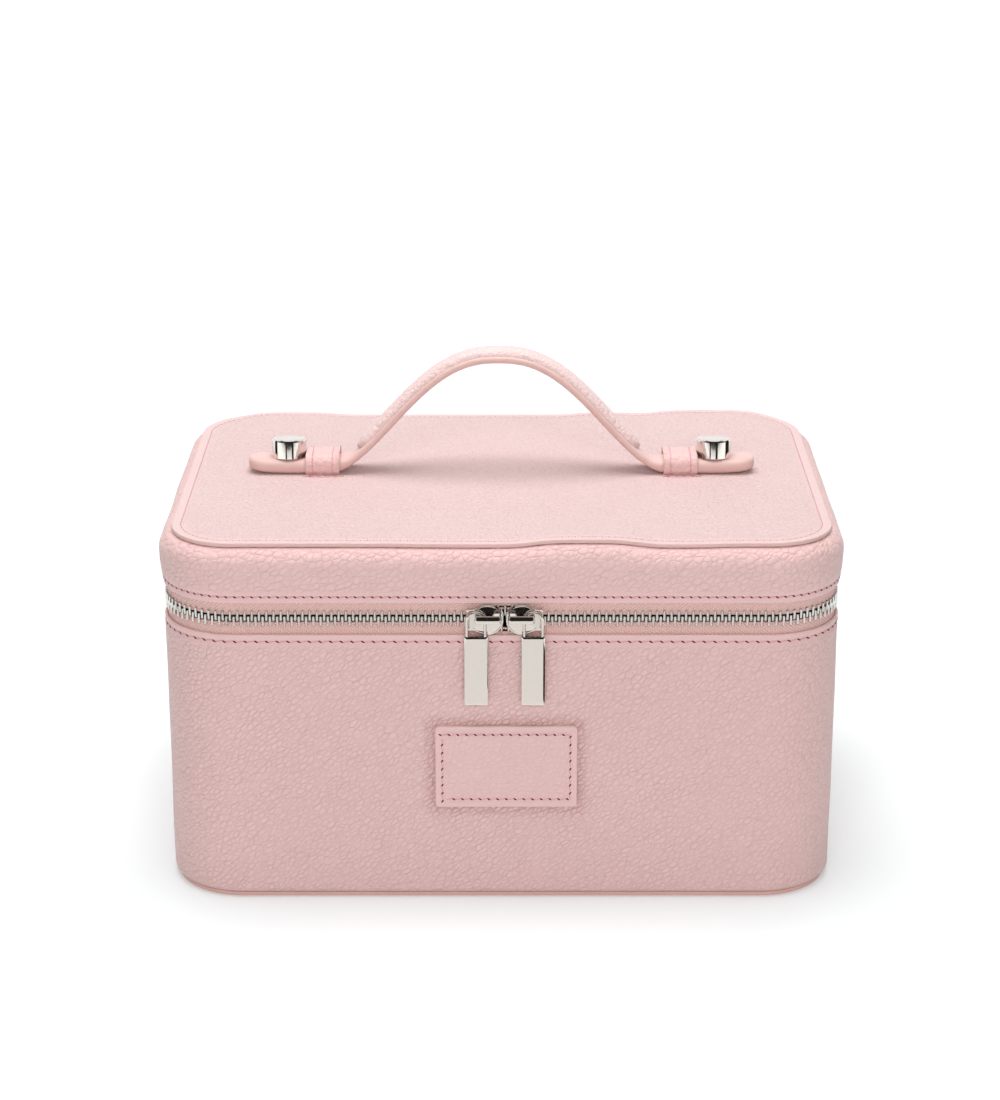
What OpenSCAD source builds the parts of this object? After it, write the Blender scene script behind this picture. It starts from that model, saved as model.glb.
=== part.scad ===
// Leather-covered makeup case: a boxed body and a hinged lid closed by a two-way zip,
// with a padded strap handle that flattens onto the lid between two keeper loops.
// Millimetres. The front faces -Y, +X is to the right, and z = 0 is the table.

/* [Case] */
// Width of the body over its leather
case_w = 257.6; // [220:1:320]
// Depth of the body over its leather
case_d = 175; // [150:1:220]
// Height of the body from the table to its rim
body_h = 108.9; // [80:1:150]
// Open height between the two rims, filled by the zip
zip_gap = 12.4; // [11.6:0.1:16]
// Height of the lid from its rim to its top
lid_h = 22.3; // [20:1:45]
// Plan radius of the upright corners
corner_r = 29; // [20:1:45]

/* [Layers] */
// Thickness of the outer leather
wrap_t = 1.2; // [0.9:0.1:1.6]
// Thickness of the zip tape and of the skived hinge leather
tape_t = 0.6; // [0.4:0.1:0.9]
// Thickness of the grey board
board_t = 2; // [1.5:0.1:3]
// Thickness of the fabric lining
lining_t = 0.8; // [0.5:0.1:1.2]
// Glue line left between two layers
layer_gap = 0.05; // [0.03:0.01:0.1]
// Width of the leather turned in under the base and over the lid board
turn_in = 8; // [5:1:14]

/* [Base] */
// Thickness of the bottom panel
base_t = 1.6; // [1:0.1:3]
// How far the bottom panel stops inside the walls
base_inset = 1.8; // [1:0.1:4]
// Radius where the walls turn under
foot_r = 3; // [2:0.5:5]

/* [Lid] */
// How far the padded lid wall swells past the body
lid_bulge = 1.2; // [0:0.1:2.5]
// Radius of the lid's shoulder
shoulder_r = 7; // [4:0.5:9]
// Thickness of the top panel
panel_t = 1.6; // [1.4:0.1:3]
// How far the top panel stops inside the lid's widest line
panel_inset = 5; // [4:0.5:9]
// Thickness of the foam sheet under the top panel
padding_t = 1.15; // [0.8:0.05:2]

/* [Label] */
// Width of the blank patch on the front
label_w = 54; // [30:1:80]
// Height of the patch
label_h = 33.4; // [20:1:50]
// Thickness of the patch
label_t = 1.2; // [0.8:0.1:2]
// Corner radius of the patch
label_r = 1.5; // [0.5:0.5:6]
// Place of the patch's middle, right of the case's middle
label_x = 1.8; // [-20:0.2:20]
// Height of the patch's middle
label_z = 55.6; // [35:0.2:75]

/* [Zip] */
// Tooth pitch along each row
tooth_pitch = 2.7; // [2.6:0.1:3.4]
// Width of a tooth along the row
tooth_w = 1; // [0.9:0.05:1.25]
// Depth of a tooth through the tape
tooth_t = 2.4; // [1.8:0.1:2.4]
// Reach of a tooth from the middle line back to its tape
tooth_back = 2.9; // [2.5:0.1:2.95]
// Reach of a tooth past the middle line
tooth_mesh = 0.9; // [0.5:0.1:1.2]
// Width of tape sewn in behind each rim
tape_hidden = 9; // [6:0.5:14]
// Distance in front of the hinge line where the teeth stop
zip_end_r = 11; // [10:0.5:18]
// How far each row swings open between the two sliders
splay = 2.2; // [2.1:0.1:2.4]

/* [Sliders] */
// Where the two sliders meet, right of the case's middle
pair_x = 1.2; // [-20:0.2:20]
// Gap left between the two sliders
pair_gap = 0.9; // [0.6:0.1:4]
// Length of a slider
slider_l = 13.85; // [13:0.1:16]
// Height of a slider over its shoulders
slider_h = 11.6; // [11:0.1:11.8]
// Height of a slider at its narrow end
slider_tail_h = 8; // [7.6:0.1:9]
// Thickness of each slider plate
plate_t = 1.3; // [0.8:0.1:1.8]
// Clear space beside the teeth inside a slider
plate_gap = 0.2; // [0.15:0.05:0.4]
// Diameter of the divider post between the plates
divider_d = 2.2; // [1.5:0.1:2.4]
// Height of the bridge that carries the pull
bridge_h = 2; // [1.6:0.1:2.4]
// Height of the bridge's middle over the zip's line
bridge_z = 1.6; // [0:0.1:2]
// Room under the bridge for the wire
bridge_room = 2.6; // [2:0.1:4]
// Thickness of the bridge bar
bridge_t = 1.4; // [1:0.1:2]

/* [Pulls] */
// Width of the pull tab
tab_w = 8.8; // [8.4:0.1:12]
// Length of the pull tab
tab_l = 27.5; // [15:0.5:40]
// Thickness of the pull tab
tab_t = 1.9; // [1.7:0.1:2.4]
// Bevel round the face of the tab
tab_bevel = 0.4; // [0.2:0.1:0.6]
// Wire diameter of the bail
wire_d = 1.2; // [0.9:0.1:1.3]
// Middle radius of the bail's bow
bail_r = 3.4; // [3.3:0.1:3.5]
// Straight length of the bail above the tab
bail_l = 6; // [5:0.5:10]
// Depth of the bail's ends inside the tab
bail_seat = 2.6; // [1.5:0.1:4]

/* [Handle] */
// Place of the handle behind the middle of the lid
handle_y = 6; // [-20:1:20]
// Backward lean of the handle in degrees
handle_lean = 5; // [0:1:8]
// Clear height between the strap and the lid
lid_clearance = 0.2; // [0.2:0.1:1]
// Width of the strap
strap_w = 14; // [12:0.5:18]
// Thickness of the strap at its ends
strap_t = 5; // [4.5:0.1:6]
// Thickness of the strap's edge under the grip
grip_edge_t = 2.8; // [2.8:0.1:4]
// Half length of the strap, from its middle to a tip
strap_half_l = 100.9; // [96:0.5:106]
// Rise of the arch over the strap's ends
arch_h = 43.8; // [42:0.2:60]
// Roundness of the arch's crown: a higher value widens it
arch_curve = 1.26; // [1.1:0.02:1.5]
// Distance from the arch's middle to where it meets the lid
arch_foot = 67; // [60:0.5:69]
// Place of the arch's middle along the strap
arch_x = -1.2; // [-2:0.2:2]
// Half length of the padded grip
grip_half_l = 54; // [40:1:60]
// Width of the padded grip
grip_w = 11.4; // [9:0.2:12]
// Height of the grip's crown over the strap
grip_h = 3.1; // [2.2:0.1:4]
// Half length of the stiff filler in the crown
filler_half_l = 18; // [10:1:20]
// Width of the filler
filler_w = 7; // [5:0.2:8]
// Height of the filler
filler_h = 1.5; // [1:0.1:1.8]

/* [Studs] */
// Gap between a stud's knob and the keeper loop beside it
stud_gap = 0.35; // [0.2:0.05:4]
// Diameter of the stud's knob
knob_d = 13.7; // [10:0.1:14]
// Height of the knob
knob_h = 8; // [5:0.5:12]
// Bevel round the knob's top
knob_bevel = 0.4; // [0.2:0.1:1.5]
// Diameter of the post through the strap
post_d = 5; // [4:0.1:6]
// Diameter of the screw head under the strap
screw_head_d = 8; // [7:0.1:9]
// Thickness of the screw head
screw_head_t = 0.9; // [0.6:0.1:1.2]
// Diameter of the screw's shank
screw_d = 2.5; // [2:0.1:3]
// Room around the post and the screw head in the strap
stud_room = 0.1; // [0.08:0.01:0.3]

/* [Keepers] */
// Place of each keeper loop from the middle of the lid
keeper_x = 70.9; // [68:0.1:74]
// Width of a keeper loop along the strap
keeper_w = 13.8; // [10:0.1:15]
// Thickness of the keeper's leather
keeper_t = 1.2; // [0.9:0.1:1.6]
// Room between a keeper and the strap
keeper_room = 0.15; // [0.1:0.05:0.5]

/* [Hidden] */
$fn = 48;

leather = "#e4c3c1";
edge_paint = "#d9aea8";
lining_pink = "#e9d3cf";
tape_pink = "#c99a97";
nickel = "#c9c2ba";
board_grey = "#a79f96";

// Heights of the levels, from the table up
lid_rim = body_h + zip_gap;
lid_top = lid_rim + lid_h;
zip_z = body_h + zip_gap / 2;
panel_z = lid_top - panel_t;
shoulder_top = panel_z - layer_gap;
lid_board_top = shoulder_top - wrap_t - layer_gap;
board_bottom = base_t + wrap_t + 2 * layer_gap;
floor_z = board_bottom + board_t + layer_gap;
rim_drop = 0.8;
lining_rise = 0.4;
eps = 0.01;

// Distances of the layers out from the corner's centre
tape_slot = tape_t + 2 * layer_gap;
path_r = corner_r - wrap_t - tape_slot / 2;
board_r = corner_r - wrap_t - tape_slot;
lining_r = board_r - board_t - layer_gap;
path_y = case_d / 2 - corner_r + path_r;
lid_r = corner_r + lid_bulge;

// Plan of the case
straight_x = case_w / 2 - corner_r;
straight_y = case_d / 2 - corner_r;

function arc(cx, cy, r, a0, a1, n = 6) =
    [for (i = [0:n]) let (a = a0 + (a1 - a0) * i / n) [cx + r * cos(a), cy + r * sin(a)]];
function smooth(t) = let (u = min(max(t, 0), 1)) u * u * (3 - 2 * u);

// A 2D profile carried round the plan of the case: x is the distance out from the
// corner's centre, y is the height.
module around(hx = straight_x, hy = straight_y) {
    for (q = [[1, 1, 0], [-1, 1, 90], [-1, -1, 180], [1, -1, 270]])
        translate([q.x * hx, q.y * hy, 0]) rotate(q.z) rotate_extrude(angle = 90) children();
    for (s = [[hx, hy, 0], [hy, hx, 90], [hx, hy, 180], [hy, hx, 270]])
        rotate(s.z) translate([s.x, s.y, 0]) rotate([90, 0, 0]) linear_extrude(2 * s.y) children();
}

// The flat middle of a plate between the corners' centres
module middle(z, t) {
    translate([-straight_x, -straight_y, z]) cube([2 * straight_x, 2 * straight_y, t]);
}

// A flat plate that reaches r out from the corners' centres
module plate(r, z, t) {
    around() translate([0, z]) square([r, t]);
    middle(z, t);
}

// ---------------------------------------------------------------- body

module base_panel() {
    color(edge_paint) plate(corner_r - base_inset, 0, base_t);
}

module base_board() {
    color(board_grey) plate(board_r - board_t - layer_gap, board_bottom, board_t);
}

module body_wall() {
    z0 = base_t + layer_gap;
    fold = wrap_t / 2;
    color(leather) around() polygon(concat(
        [[corner_r - turn_in, z0]],
        arc(corner_r - foot_r, z0 + foot_r, foot_r, -90, 0),
        arc(corner_r - fold, body_h - fold, fold, 0, 180, 8),
        arc(corner_r - foot_r, z0 + foot_r, foot_r - wrap_t, 0, -90),
        [[corner_r - turn_in, z0 + wrap_t]]
    ));
}

module body_board() {
    in_r = board_r - board_t;
    z1 = body_h - rim_drop;
    bend = min(foot_r - wrap_t, board_t);
    color(board_grey) around() polygon(concat(
        [[in_r, board_bottom]],
        arc(board_r - bend, board_bottom + bend, bend, -90, 0),
        [[board_r, z1], [in_r, z1]]
    ));
}

module body_lining() {
    wall_in = lining_r - lining_t;
    color(lining_pink) {
        around() polygon([
            [0, floor_z], [lining_r, floor_z], [lining_r, body_h - lining_rise],
            [wall_in, body_h - lining_rise], [wall_in, floor_z + lining_t], [0, floor_z + lining_t]
        ]);
        middle(floor_z, lining_t);
    }
}

// A flat shape in width and height with round corners
module round_rect(w, h, r) {
    square([w - 2 * r, h], center = true);
    square([w, h - 2 * r], center = true);
    for (x = [-1, 1], y = [-1, 1]) translate([x * (w / 2 - r), y * (h / 2 - r)]) circle(r);
}

module label_patch() {
    color(leather) translate([label_x, -case_d / 2 - layer_gap, label_z])
        rotate([90, 0, 0]) linear_extrude(label_t) round_rect(label_w, label_h, label_r);
}

// ---------------------------------------------------------------- zip

// How far a row is swung open at x along the front
splay_flat = 3;
splay_ramp = 6;
function splay_at(x) = splay * (1 - smooth((abs(x - pair_x) - splay_flat) / splay_ramp));

// The zip's line starts at the middle of the front and runs round both sides
side_l = 2 * straight_y;
corner_l = path_r * PI / 2;
end_angle = asin(1 - zip_end_r / path_r);
teeth_l = straight_x + corner_l + side_l + path_r * end_angle * PI / 180;
stop_l = 3;
tape_end_angle = end_angle + (stop_l + tooth_pitch) * 180 / (PI * path_r);

// Moves a piece drawn at the origin, facing -Y, to distance s along the line
module on_path(s) {
    side = s < 0 ? -1 : 1;
    d = abs(s);
    c = d - straight_x;
    e = c - corner_l - side_l;
    mirror([side < 0 ? 1 : 0, 0, 0]) {
        if (c <= 0)
            translate([d, -path_y, 0]) children();
        else if (c <= corner_l)
            translate([straight_x, -straight_y, 0])
                rotate(c * 180 / (PI * path_r)) translate([0, -path_r, 0]) children();
        else if (e <= 0)
            translate([straight_x + path_r, -straight_y + c - corner_l, 0])
                rotate(90) children();
        else
            translate([straight_x, straight_y, 0])
                rotate(90 + e * 180 / (PI * path_r)) translate([0, -path_r, 0]) children();
    }
}

// One row of teeth: up is 1 for the lid's row and -1 for the body's row
module teeth(up, phase) {
    n = floor((teeth_l - stop_l) / tooth_pitch - 0.5);
    tall = tooth_back + tooth_mesh;
    for (k = [-n:n]) {
        s = (k + phase) * tooth_pitch;
        open = abs(s) < straight_x ? splay_at(s) : 0;
        low = up > 0 ? -tooth_mesh + open : -tooth_back - open;
        on_path(s) translate([-tooth_w / 2, -tooth_t / 2, zip_z + low])
            cube([tooth_w, tooth_t, tall]);
    }
}

// The four end stops close the rows behind the last teeth
module stops(up) {
    half_gap = 0.3;
    stop_h = tooth_back - half_gap;
    for (side = [-1, 1]) on_path(side * (teeth_l + stop_l / 2))
        translate([-stop_l / 2, -tooth_t / 2, zip_z + (up > 0 ? half_gap : -half_gap - stop_h)])
            cube([stop_l, tooth_t, stop_h]);
}

// Half of the tape, from its sewn edge to the backs of the teeth. Where the row swings open,
// the tape's edge clears the whole width of each tooth.
function tape_open(x) = splay_at(pair_x + max(abs(x - pair_x) - tooth_w / 2, 0));
module tape(up) {
    inner = tooth_back + layer_gap;
    rim = zip_gap / 2;
    outer = rim + tape_hidden;
    bead = [for (x = [-straight_x, for (i = [-12:12]) pair_x + i * 0.8, straight_x])
        [x, inner + tape_open(x)]];
    module strip() {
        translate([path_r - tape_t / 2, zip_z + (up > 0 ? inner : -outer)])
            square([tape_t, outer - inner]);
    }
    translate([0, -path_y + tape_t / 2, zip_z]) rotate([90, 0, 0]) linear_extrude(tape_t)
        mirror([0, up > 0 ? 0 : 1])
            polygon(concat(bead, [[straight_x, outer], [-straight_x, outer]]));
    for (side = [0, 1]) mirror([side, 0, 0]) {
        translate([straight_x, -straight_y, 0]) rotate(270)
            rotate_extrude(angle = 90) strip();
        translate([straight_x, straight_y, 0]) rotate([90, 0, 0])
            linear_extrude(side_l) strip();
        translate([straight_x, straight_y, 0])
            rotate_extrude(angle = tape_end_angle) strip();
    }
}

// Half of the leather hinge, from the zip's ends round the back. It stops short of the
// hinge line, where the leather bends.
bend_half = 0.75;
module hinge_leather(up) {
    outer = zip_gap / 2 + tape_hidden;
    start = tape_end_angle + 1;
    module strip() {
        translate([path_r - tape_t / 2, zip_z + (up > 0 ? bend_half : -outer)])
            square([tape_t, outer - bend_half]);
    }
    for (side = [0, 1]) mirror([side, 0, 0])
        translate([straight_x, straight_y, 0]) rotate(90) mirror([0, 1, 0])
            rotate_extrude(angle = 90 - start) strip();
    rotate(90) translate([straight_y, straight_x, 0]) rotate([90, 0, 0])
        linear_extrude(2 * straight_x) strip();
}

module zip_tape_lower() { color(tape_pink) tape(-1); }
module zip_tape_upper() { color(tape_pink) tape(1); }
module zip_teeth_lower() { color(nickel) teeth(-1, 0); }
module zip_teeth_upper() { color(nickel) teeth(1, 0.5); }
module zip_stops_lower() { color(nickel) stops(-1); }
module zip_stops_upper() { color(nickel) stops(1); }
module hinge_leather_lower() { color(leather) hinge_leather(-1); }
module hinge_leather_upper() { color(leather) hinge_leather(1); }

// ---------------------------------------------------------------- lid

module lid_wall() {
    fold = wrap_t / 2;
    z_rim = lid_rim + fold;
    z_arc = shoulder_top - shoulder_r;
    steps = 8;
    swell = [for (i = [0:steps]) let (t = i / steps)
        [corner_r + lid_bulge * (1 - (1 - t) * (1 - t)), z_rim + (z_arc - z_rim) * t]];
    inner = [for (i = [steps:-1:0]) swell[i] - [wrap_t, 0]];
    arc_x = lid_r - shoulder_r;
    color(leather) around() polygon(concat(
        arc(corner_r - fold, z_rim, fold, 180, 360, 8),
        swell,
        arc(arc_x, z_arc, shoulder_r, 0, 90, 8),
        [[arc_x - turn_in, shoulder_top], [arc_x - turn_in, shoulder_top - wrap_t]],
        arc(arc_x, z_arc, shoulder_r - wrap_t, 90, 0, 8),
        inner
    ));
}

module lid_board() {
    bend = shoulder_r - wrap_t - layer_gap;
    in_r = board_r - board_t;
    z0 = lid_rim + rim_drop;
    color(board_grey) {
        around() polygon(concat(
            [[0, lid_board_top - board_t], [in_r, lid_board_top - board_t], [in_r, z0], [board_r, z0]],
            arc(board_r - bend, lid_board_top - bend, bend, 0, 90),
            [[0, lid_board_top]]
        ));
        middle(lid_board_top - board_t, board_t);
    }
}

module lid_lining() {
    z1 = lid_board_top - board_t - layer_gap;
    z0 = lid_rim + lining_rise;
    color(lining_pink) {
        around() polygon([
            [0, z1 - lining_t], [lining_r - lining_t, z1 - lining_t], [lining_r - lining_t, z0],
            [lining_r, z0], [lining_r, z1], [0, z1]
        ]);
        middle(z1 - lining_t, lining_t);
    }
}

module top_padding() {
    edge_room = 0.3;
    color("#efe6dd")
        plate(lid_r - shoulder_r - turn_in - edge_room, lid_board_top + layer_gap, padding_t);
}

// The slits that take the feet of the keeper loops
module keeper_slits() {
    slit_room = 0.1;
    for (x = [-1, 1], y = [-1, 1])
        translate([x * keeper_x, keeper_y + y * (keeper_half + keeper_t / 2), panel_z + panel_t / 2])
            cube([keeper_w + 2 * slit_room, keeper_t + 2 * slit_room, 2 * panel_t], center = true);
}

module top_panel() {
    r = lid_r - panel_inset;
    edge = panel_t / 2;
    color(leather) difference() {
        union() {
            around() polygon(concat(
                [[0, panel_z]], arc(r - edge, panel_z + edge, edge, -90, 90, 10), [[0, lid_top]]
            ));
            middle(panel_z, panel_t);
        }
        keeper_slits();
    }
}

// ---------------------------------------------------------------- sliders and pulls

// Local frame of a slider: x is outwards from the pair, -y is out of the case, z is up
slider_y = tooth_t / 2 + plate_gap;
plate_out = slider_y + plate_t;
bar_y = plate_out + bridge_room;
bail_y = plate_out + bridge_room / 2;
bar_x = 0.75;
bar_l = 10.05;
post_w = 1.1;
bow_room = 0.4;
pull_x = bar_x + bar_l - post_w / 2;
bow_z = bridge_z + (bridge_h + wire_d) / 2 + bow_room - bail_r;

module at_slider(side) {
    translate([pair_x, -path_y, zip_z]) mirror([side < 0 ? 1 : 0, 0, 0])
        translate([pair_gap / 2, 0, 0]) children();
}

// A flat shape in x and z, from y1 to y2 out of the case
module slab(y1, y2) {
    translate([0, -y1, 0]) rotate([90, 0, 0]) linear_extrude(y2 - y1) children();
}

module slider_outline() {
    shoulder = slider_h / 2;
    tail_l = 2.6;
    hull() {
        translate([shoulder, 0]) circle(shoulder, $fn = 40);
        translate([slider_l - tail_l, -slider_tail_h / 2]) square([tail_l, slider_tail_h]);
    }
}

module slider(side) {
    lip_l = 5;
    lip_t = 0.8;
    lip_gap = tape_t / 2 + plate_gap;
    divider_x = 2.2;
    root_l = 3.9;
    color(nickel) at_slider(side) {
        slab(slider_y, plate_out) slider_outline();
        slab(-plate_out, -slider_y) slider_outline();
        slab(-slider_y, slider_y) translate([divider_x, 0]) circle(d = divider_d);
        for (z = [-1, 1]) for (y = [-slider_y, lip_gap])
            slab(y, y + slider_y - lip_gap)
                translate([slider_l - lip_l, z * (slider_tail_h - lip_t) / 2 - lip_t / 2])
                    square([lip_l, lip_t]);
        translate([bar_x, 0, bridge_z - bridge_h / 2]) {
            slab(bar_y, bar_y + bridge_t) square([bar_l, bridge_h]);
            slab(plate_out, bar_y) square([root_l, bridge_h]);
            slab(plate_out, bar_y) translate([bar_l - post_w, 0]) square([post_w, bridge_h]);
        }
    }
}

// A wire bow round the outer post of the bridge, its two ends set in the tab
module bail(side) {
    leg = bail_l + bail_seat;
    color(nickel) at_slider(side) translate([pull_x, -bail_y, bow_z]) {
        rotate([90, 0, 0]) rotate_extrude(angle = 180) translate([bail_r, 0]) circle(d = wire_d);
        for (x = [-1, 1]) translate([x * bail_r, 0, -leg]) cylinder(d = wire_d, h = leg);
    }
}

module pull_tab(side) {
    seat_room = 0.05;
    b = tab_bevel;
    top = bow_z - bail_l;
    w = tab_w / 2;
    color(nickel) at_slider(side) translate([pull_x, -bail_y, top]) difference() {
        intersection() {
            translate([0, 0, -tab_l]) linear_extrude(tab_l) polygon([
                [-w, tab_t / 2], [-w, -tab_t / 2 + b], [-w + b, -tab_t / 2],
                [w - b, -tab_t / 2], [w, -tab_t / 2 + b], [w, tab_t / 2]
            ]);
            rotate([90, 0, 90]) translate([0, 0, -w]) linear_extrude(tab_w) polygon([
                [tab_t / 2, 0], [-tab_t / 2 + b, 0], [-tab_t / 2, -b],
                [-tab_t / 2, -tab_l + b], [-tab_t / 2 + b, -tab_l], [tab_t / 2, -tab_l]
            ]);
        }
        for (x = [-1, 1]) translate([x * bail_r, 0, -bail_seat - seat_room])
            cylinder(d = wire_d + 2 * seat_room, h = bail_seat + 1);
    }
}

module slider_left() { slider(-1); }
module slider_right() { slider(1); }
module bail_left() { bail(-1); }
module bail_right() { bail(1); }
module pull_tab_left() { pull_tab(-1); }
module pull_tab_right() { pull_tab(1); }

// ---------------------------------------------------------------- handle

// The handle's own frame stands on the lid and leans back. In it the underside of the
// strap follows arch(x), and v is the height over that underside.
edge_r = strap_t / 2;
lean_y = (strap_w / 2 - edge_r) * cos(handle_lean) + edge_r;
lean_z = (strap_w / 2 - edge_r) * sin(handle_lean) + edge_r;
strap_z = lid_top + lid_clearance + lean_z - edge_r * cos(handle_lean);

module on_handle() {
    translate([0, handle_y, strap_z]) rotate([-handle_lean, 0, 0]) children();
}

function arch_t(x) = pow(min(abs(x - arch_x) / arch_foot, 1), arch_curve);
function arch(x) = arch_h * (1 - smooth(arch_t(x)));
function arch_slope(x) = let (t = arch_t(x), d = max(abs(x - arch_x), eps))
    -arch_h * 6 * t * (1 - t) * arch_curve * t / d * (x < arch_x ? -1 : 1);

// A section [[y, v], ...] set square to the arch at x
function ring(x, section) = let (m = arch_slope(x), n = norm([m, 1]))
    [for (p = section) [x - m / n * p[1], p[0], arch(x) + p[1] / n]];

// Skin over a list of equal rings, closed by a fan at each end
module loft(rings) {
    n = len(rings[0]);
    last = len(rings) - 1;
    sides = [for (i = [0:last - 1], j = [0:n - 1]) let (k = (j + 1) % n)
        each [[i * n + j, i * n + n + j, i * n + k], [i * n + k, i * n + n + j, i * n + n + k]]];
    first = [for (j = [1:n - 2]) [0, j, j + 1]];
    final = [for (j = [1:n - 2]) [last * n, last * n + j + 1, last * n + j]];
    polyhedron([for (r = rings) each r], concat(sides, first, final));
}

// Strap: a flat section with round edges, thinner under the grip, and round tips
thin_end = 58;
thin_ramp = 8;
function strap_thick(x) =
    grip_edge_t + (strap_t - grip_edge_t) * smooth((abs(x) - thin_end) / thin_ramp);
function strap_section(w, t) = let (r = t / 2, a = max(w / 2 - r, 0.02))
    concat(arc(a, r, r, -90, 90, 6), arc(-a, r, r, 90, 270, 6));
tip_r = strap_w / 2;
tip_x = strap_half_l - tip_r;
tip_angles = [80, 66, 52, 39, 26, 13];
function tip_ring(side, a) = ring(side * (tip_x + tip_r * sin(a)),
    strap_section(strap_t + (strap_w - strap_t) * cos(a),
        strap_t * (tip_thin + (1 - tip_thin) * sqrt(cos(a)))));
tip_thin = 0.45;
bend_step = 2.6;
bend_n = ceil((arch_foot - arch_x) / bend_step) + 1;

module handle_strap() {
    stations = concat([-tip_x], [for (i = [-bend_n:bend_n]) i * bend_step], [tip_x]);
    rings = concat(
        [for (a = tip_angles) tip_ring(-1, a)],
        [for (x = stations) ring(x, strap_section(strap_w, strap_thick(x)))],
        [for (i = [len(tip_angles) - 1:-1:0]) tip_ring(1, tip_angles[i])]
    );
    color(edge_paint) on_handle() difference() {
        loft(rings);
        for (side = [-1, 1]) translate([side * stud_x, 0, 0]) {
            translate([0, 0, -1]) cylinder(d = post_d + 2 * stud_room, h = strap_t + 2);
            translate([0, 0, -1])
                cylinder(d = screw_head_d + 2 * stud_room, h = 1 + head_top + stud_room);
        }
    }
}

// Half-elliptic dome standing at height v0 over the strap's underside
function dome(w, h, v0) =
    [for (i = [0:8]) let (a = 180 * i / 8) [w / 2 * cos(a), v0 + h * sin(a)]];
grip_end_r = 5;
grip_low = 0.3;
grip_step = 2.4;
function grip_scale(d) = d < grip_end_r ? sqrt(1 - pow(1 - d / grip_end_r, 2)) : 1;
grip_ends = [0.1, 0.6, 1.6, 3.2];

module grip_cover() {
    mid_n = floor((grip_half_l - grip_end_r) / grip_step);
    stations = concat([for (e = grip_ends) -grip_half_l + e],
        [for (i = [-mid_n:mid_n]) i * grip_step],
        [for (i = [len(grip_ends) - 1:-1:0]) grip_half_l - grip_ends[i]]);
    v0 = grip_edge_t + layer_gap;
    color(leather) on_handle() difference() {
        loft([for (d = stations) let (k = grip_scale(grip_half_l - abs(d)))
            ring(arch_x + d, dome(grip_w * k, grip_h * (grip_low + (1 - grip_low) * k), v0))]);
        loft([for (d = filler_stations(filler_half_l + filler_room))
            ring(arch_x + d, dome(filler_w + 2 * filler_room, filler_h + 2 * filler_room, v0 - eps))]);
    }
}

filler_room = 0.15;
function filler_stations(l) = let (n = ceil(l / grip_step)) [for (i = [-n:n]) i * l / n];

module grip_filler() {
    color(board_grey) on_handle()
        loft([for (d = filler_stations(filler_half_l))
            ring(arch_x + d, dome(filler_w, filler_h, grip_edge_t + 2 * layer_gap))]);
}

// Studs: a knob with a post through the strap, held by a screw from below
stud_x = keeper_x + keeper_w / 2 + stud_gap + knob_d / 2;
head_z = 0.25;
head_top = head_z + screw_head_t;
post_z = head_top + stud_room;
knob_z = strap_t + layer_gap;
bore_cap = 3;
bore_end = 0.4;
bore_top = knob_z + knob_h - bore_cap;

module knob(side) {
    r = knob_d / 2;
    top = knob_z + knob_h;
    color(nickel) on_handle() translate([side * stud_x, 0, 0]) difference() {
        rotate_extrude() polygon([
            [0, post_z], [post_d / 2, post_z], [post_d / 2, knob_z], [r, knob_z],
            [r, top - knob_bevel], [r - knob_bevel, top], [0, top]
        ]);
        translate([0, 0, post_z - 1]) cylinder(d = screw_d + stud_room, h = bore_top - post_z + 1);
    }
}

module stud_screw(side) {
    shank = bore_top - bore_end - head_z;
    color(nickel) on_handle() translate([side * stud_x, 0, head_z]) {
        cylinder(d = screw_head_d, h = screw_head_t);
        cylinder(d = screw_d, h = shank);
    }
}

// Keeper loops: a leather band over the strap, its two feet in slits of the top panel
keeper_y = handle_y + edge_r * sin(handle_lean);
keeper_half = lean_y + 2 * keeper_room;
keeper_rise = arch(-(keeper_x - keeper_w / 2));
keeper_roof = strap_z + edge_r * cos(handle_lean) + lean_z + keeper_rise + keeper_room;
keeper_bend = 2.2;

module keeper(side) {
    foot_z = panel_z + layer_gap;
    tall = keeper_roof - foot_z;
    module tunnel(half, top, bend) {
        translate([-half, -1]) square([2 * half, 1 + top - bend]);
        translate([-half + bend, 0]) square([2 * (half - bend), top]);
        for (y = [-1, 1]) translate([y * (half - bend), top - bend]) circle(bend);
    }
    color(leather) translate([side * keeper_x - keeper_w / 2, keeper_y, foot_z])
        rotate([90, 0, 90]) linear_extrude(keeper_w) difference() {
            intersection() {
                tunnel(keeper_half + keeper_t, tall + keeper_t, keeper_bend + keeper_t);
                translate([-keeper_half - keeper_t, 0])
                    square([2 * (keeper_half + keeper_t), tall + keeper_t]);
            }
            tunnel(keeper_half, tall, keeper_bend);
        }
}

module keeper_left() { keeper(-1); }
module keeper_right() { keeper(1); }
module knob_left() { knob(-1); }
module knob_right() { knob(1); }
module stud_screw_left() { stud_screw(-1); }
module stud_screw_right() { stud_screw(1); }

base_panel();
base_board();
body_wall();
body_board();
body_lining();
label_patch();
zip_tape_lower();
zip_teeth_lower();
zip_stops_lower();
hinge_leather_lower();
lid_wall();
lid_board();
lid_lining();
top_padding();
top_panel();
zip_tape_upper();
zip_teeth_upper();
zip_stops_upper();
hinge_leather_upper();
keeper_left();
keeper_right();
slider_left();
slider_right();
bail_left();
bail_right();
pull_tab_left();
pull_tab_right();
handle_strap();
grip_cover();
grip_filler();
knob_left();
knob_right();
stud_screw_left();
stud_screw_right();
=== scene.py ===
# %% [markdown]
# # Dressing a pink leather makeup case
#
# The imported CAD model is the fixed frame: its pieces already stand in the right place, in
# metres, with the table at z = 0 and the front of the case facing -Y. This lesson puts a
# detailed surface over each part of it: pebbled leather, painted edges, thread, zip tape,
# metal teeth and polished fittings. Every surface is worked out with numpy as a grid of
# points, because one short formula then gives the whole piece and can be changed later.

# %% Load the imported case
import math

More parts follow.
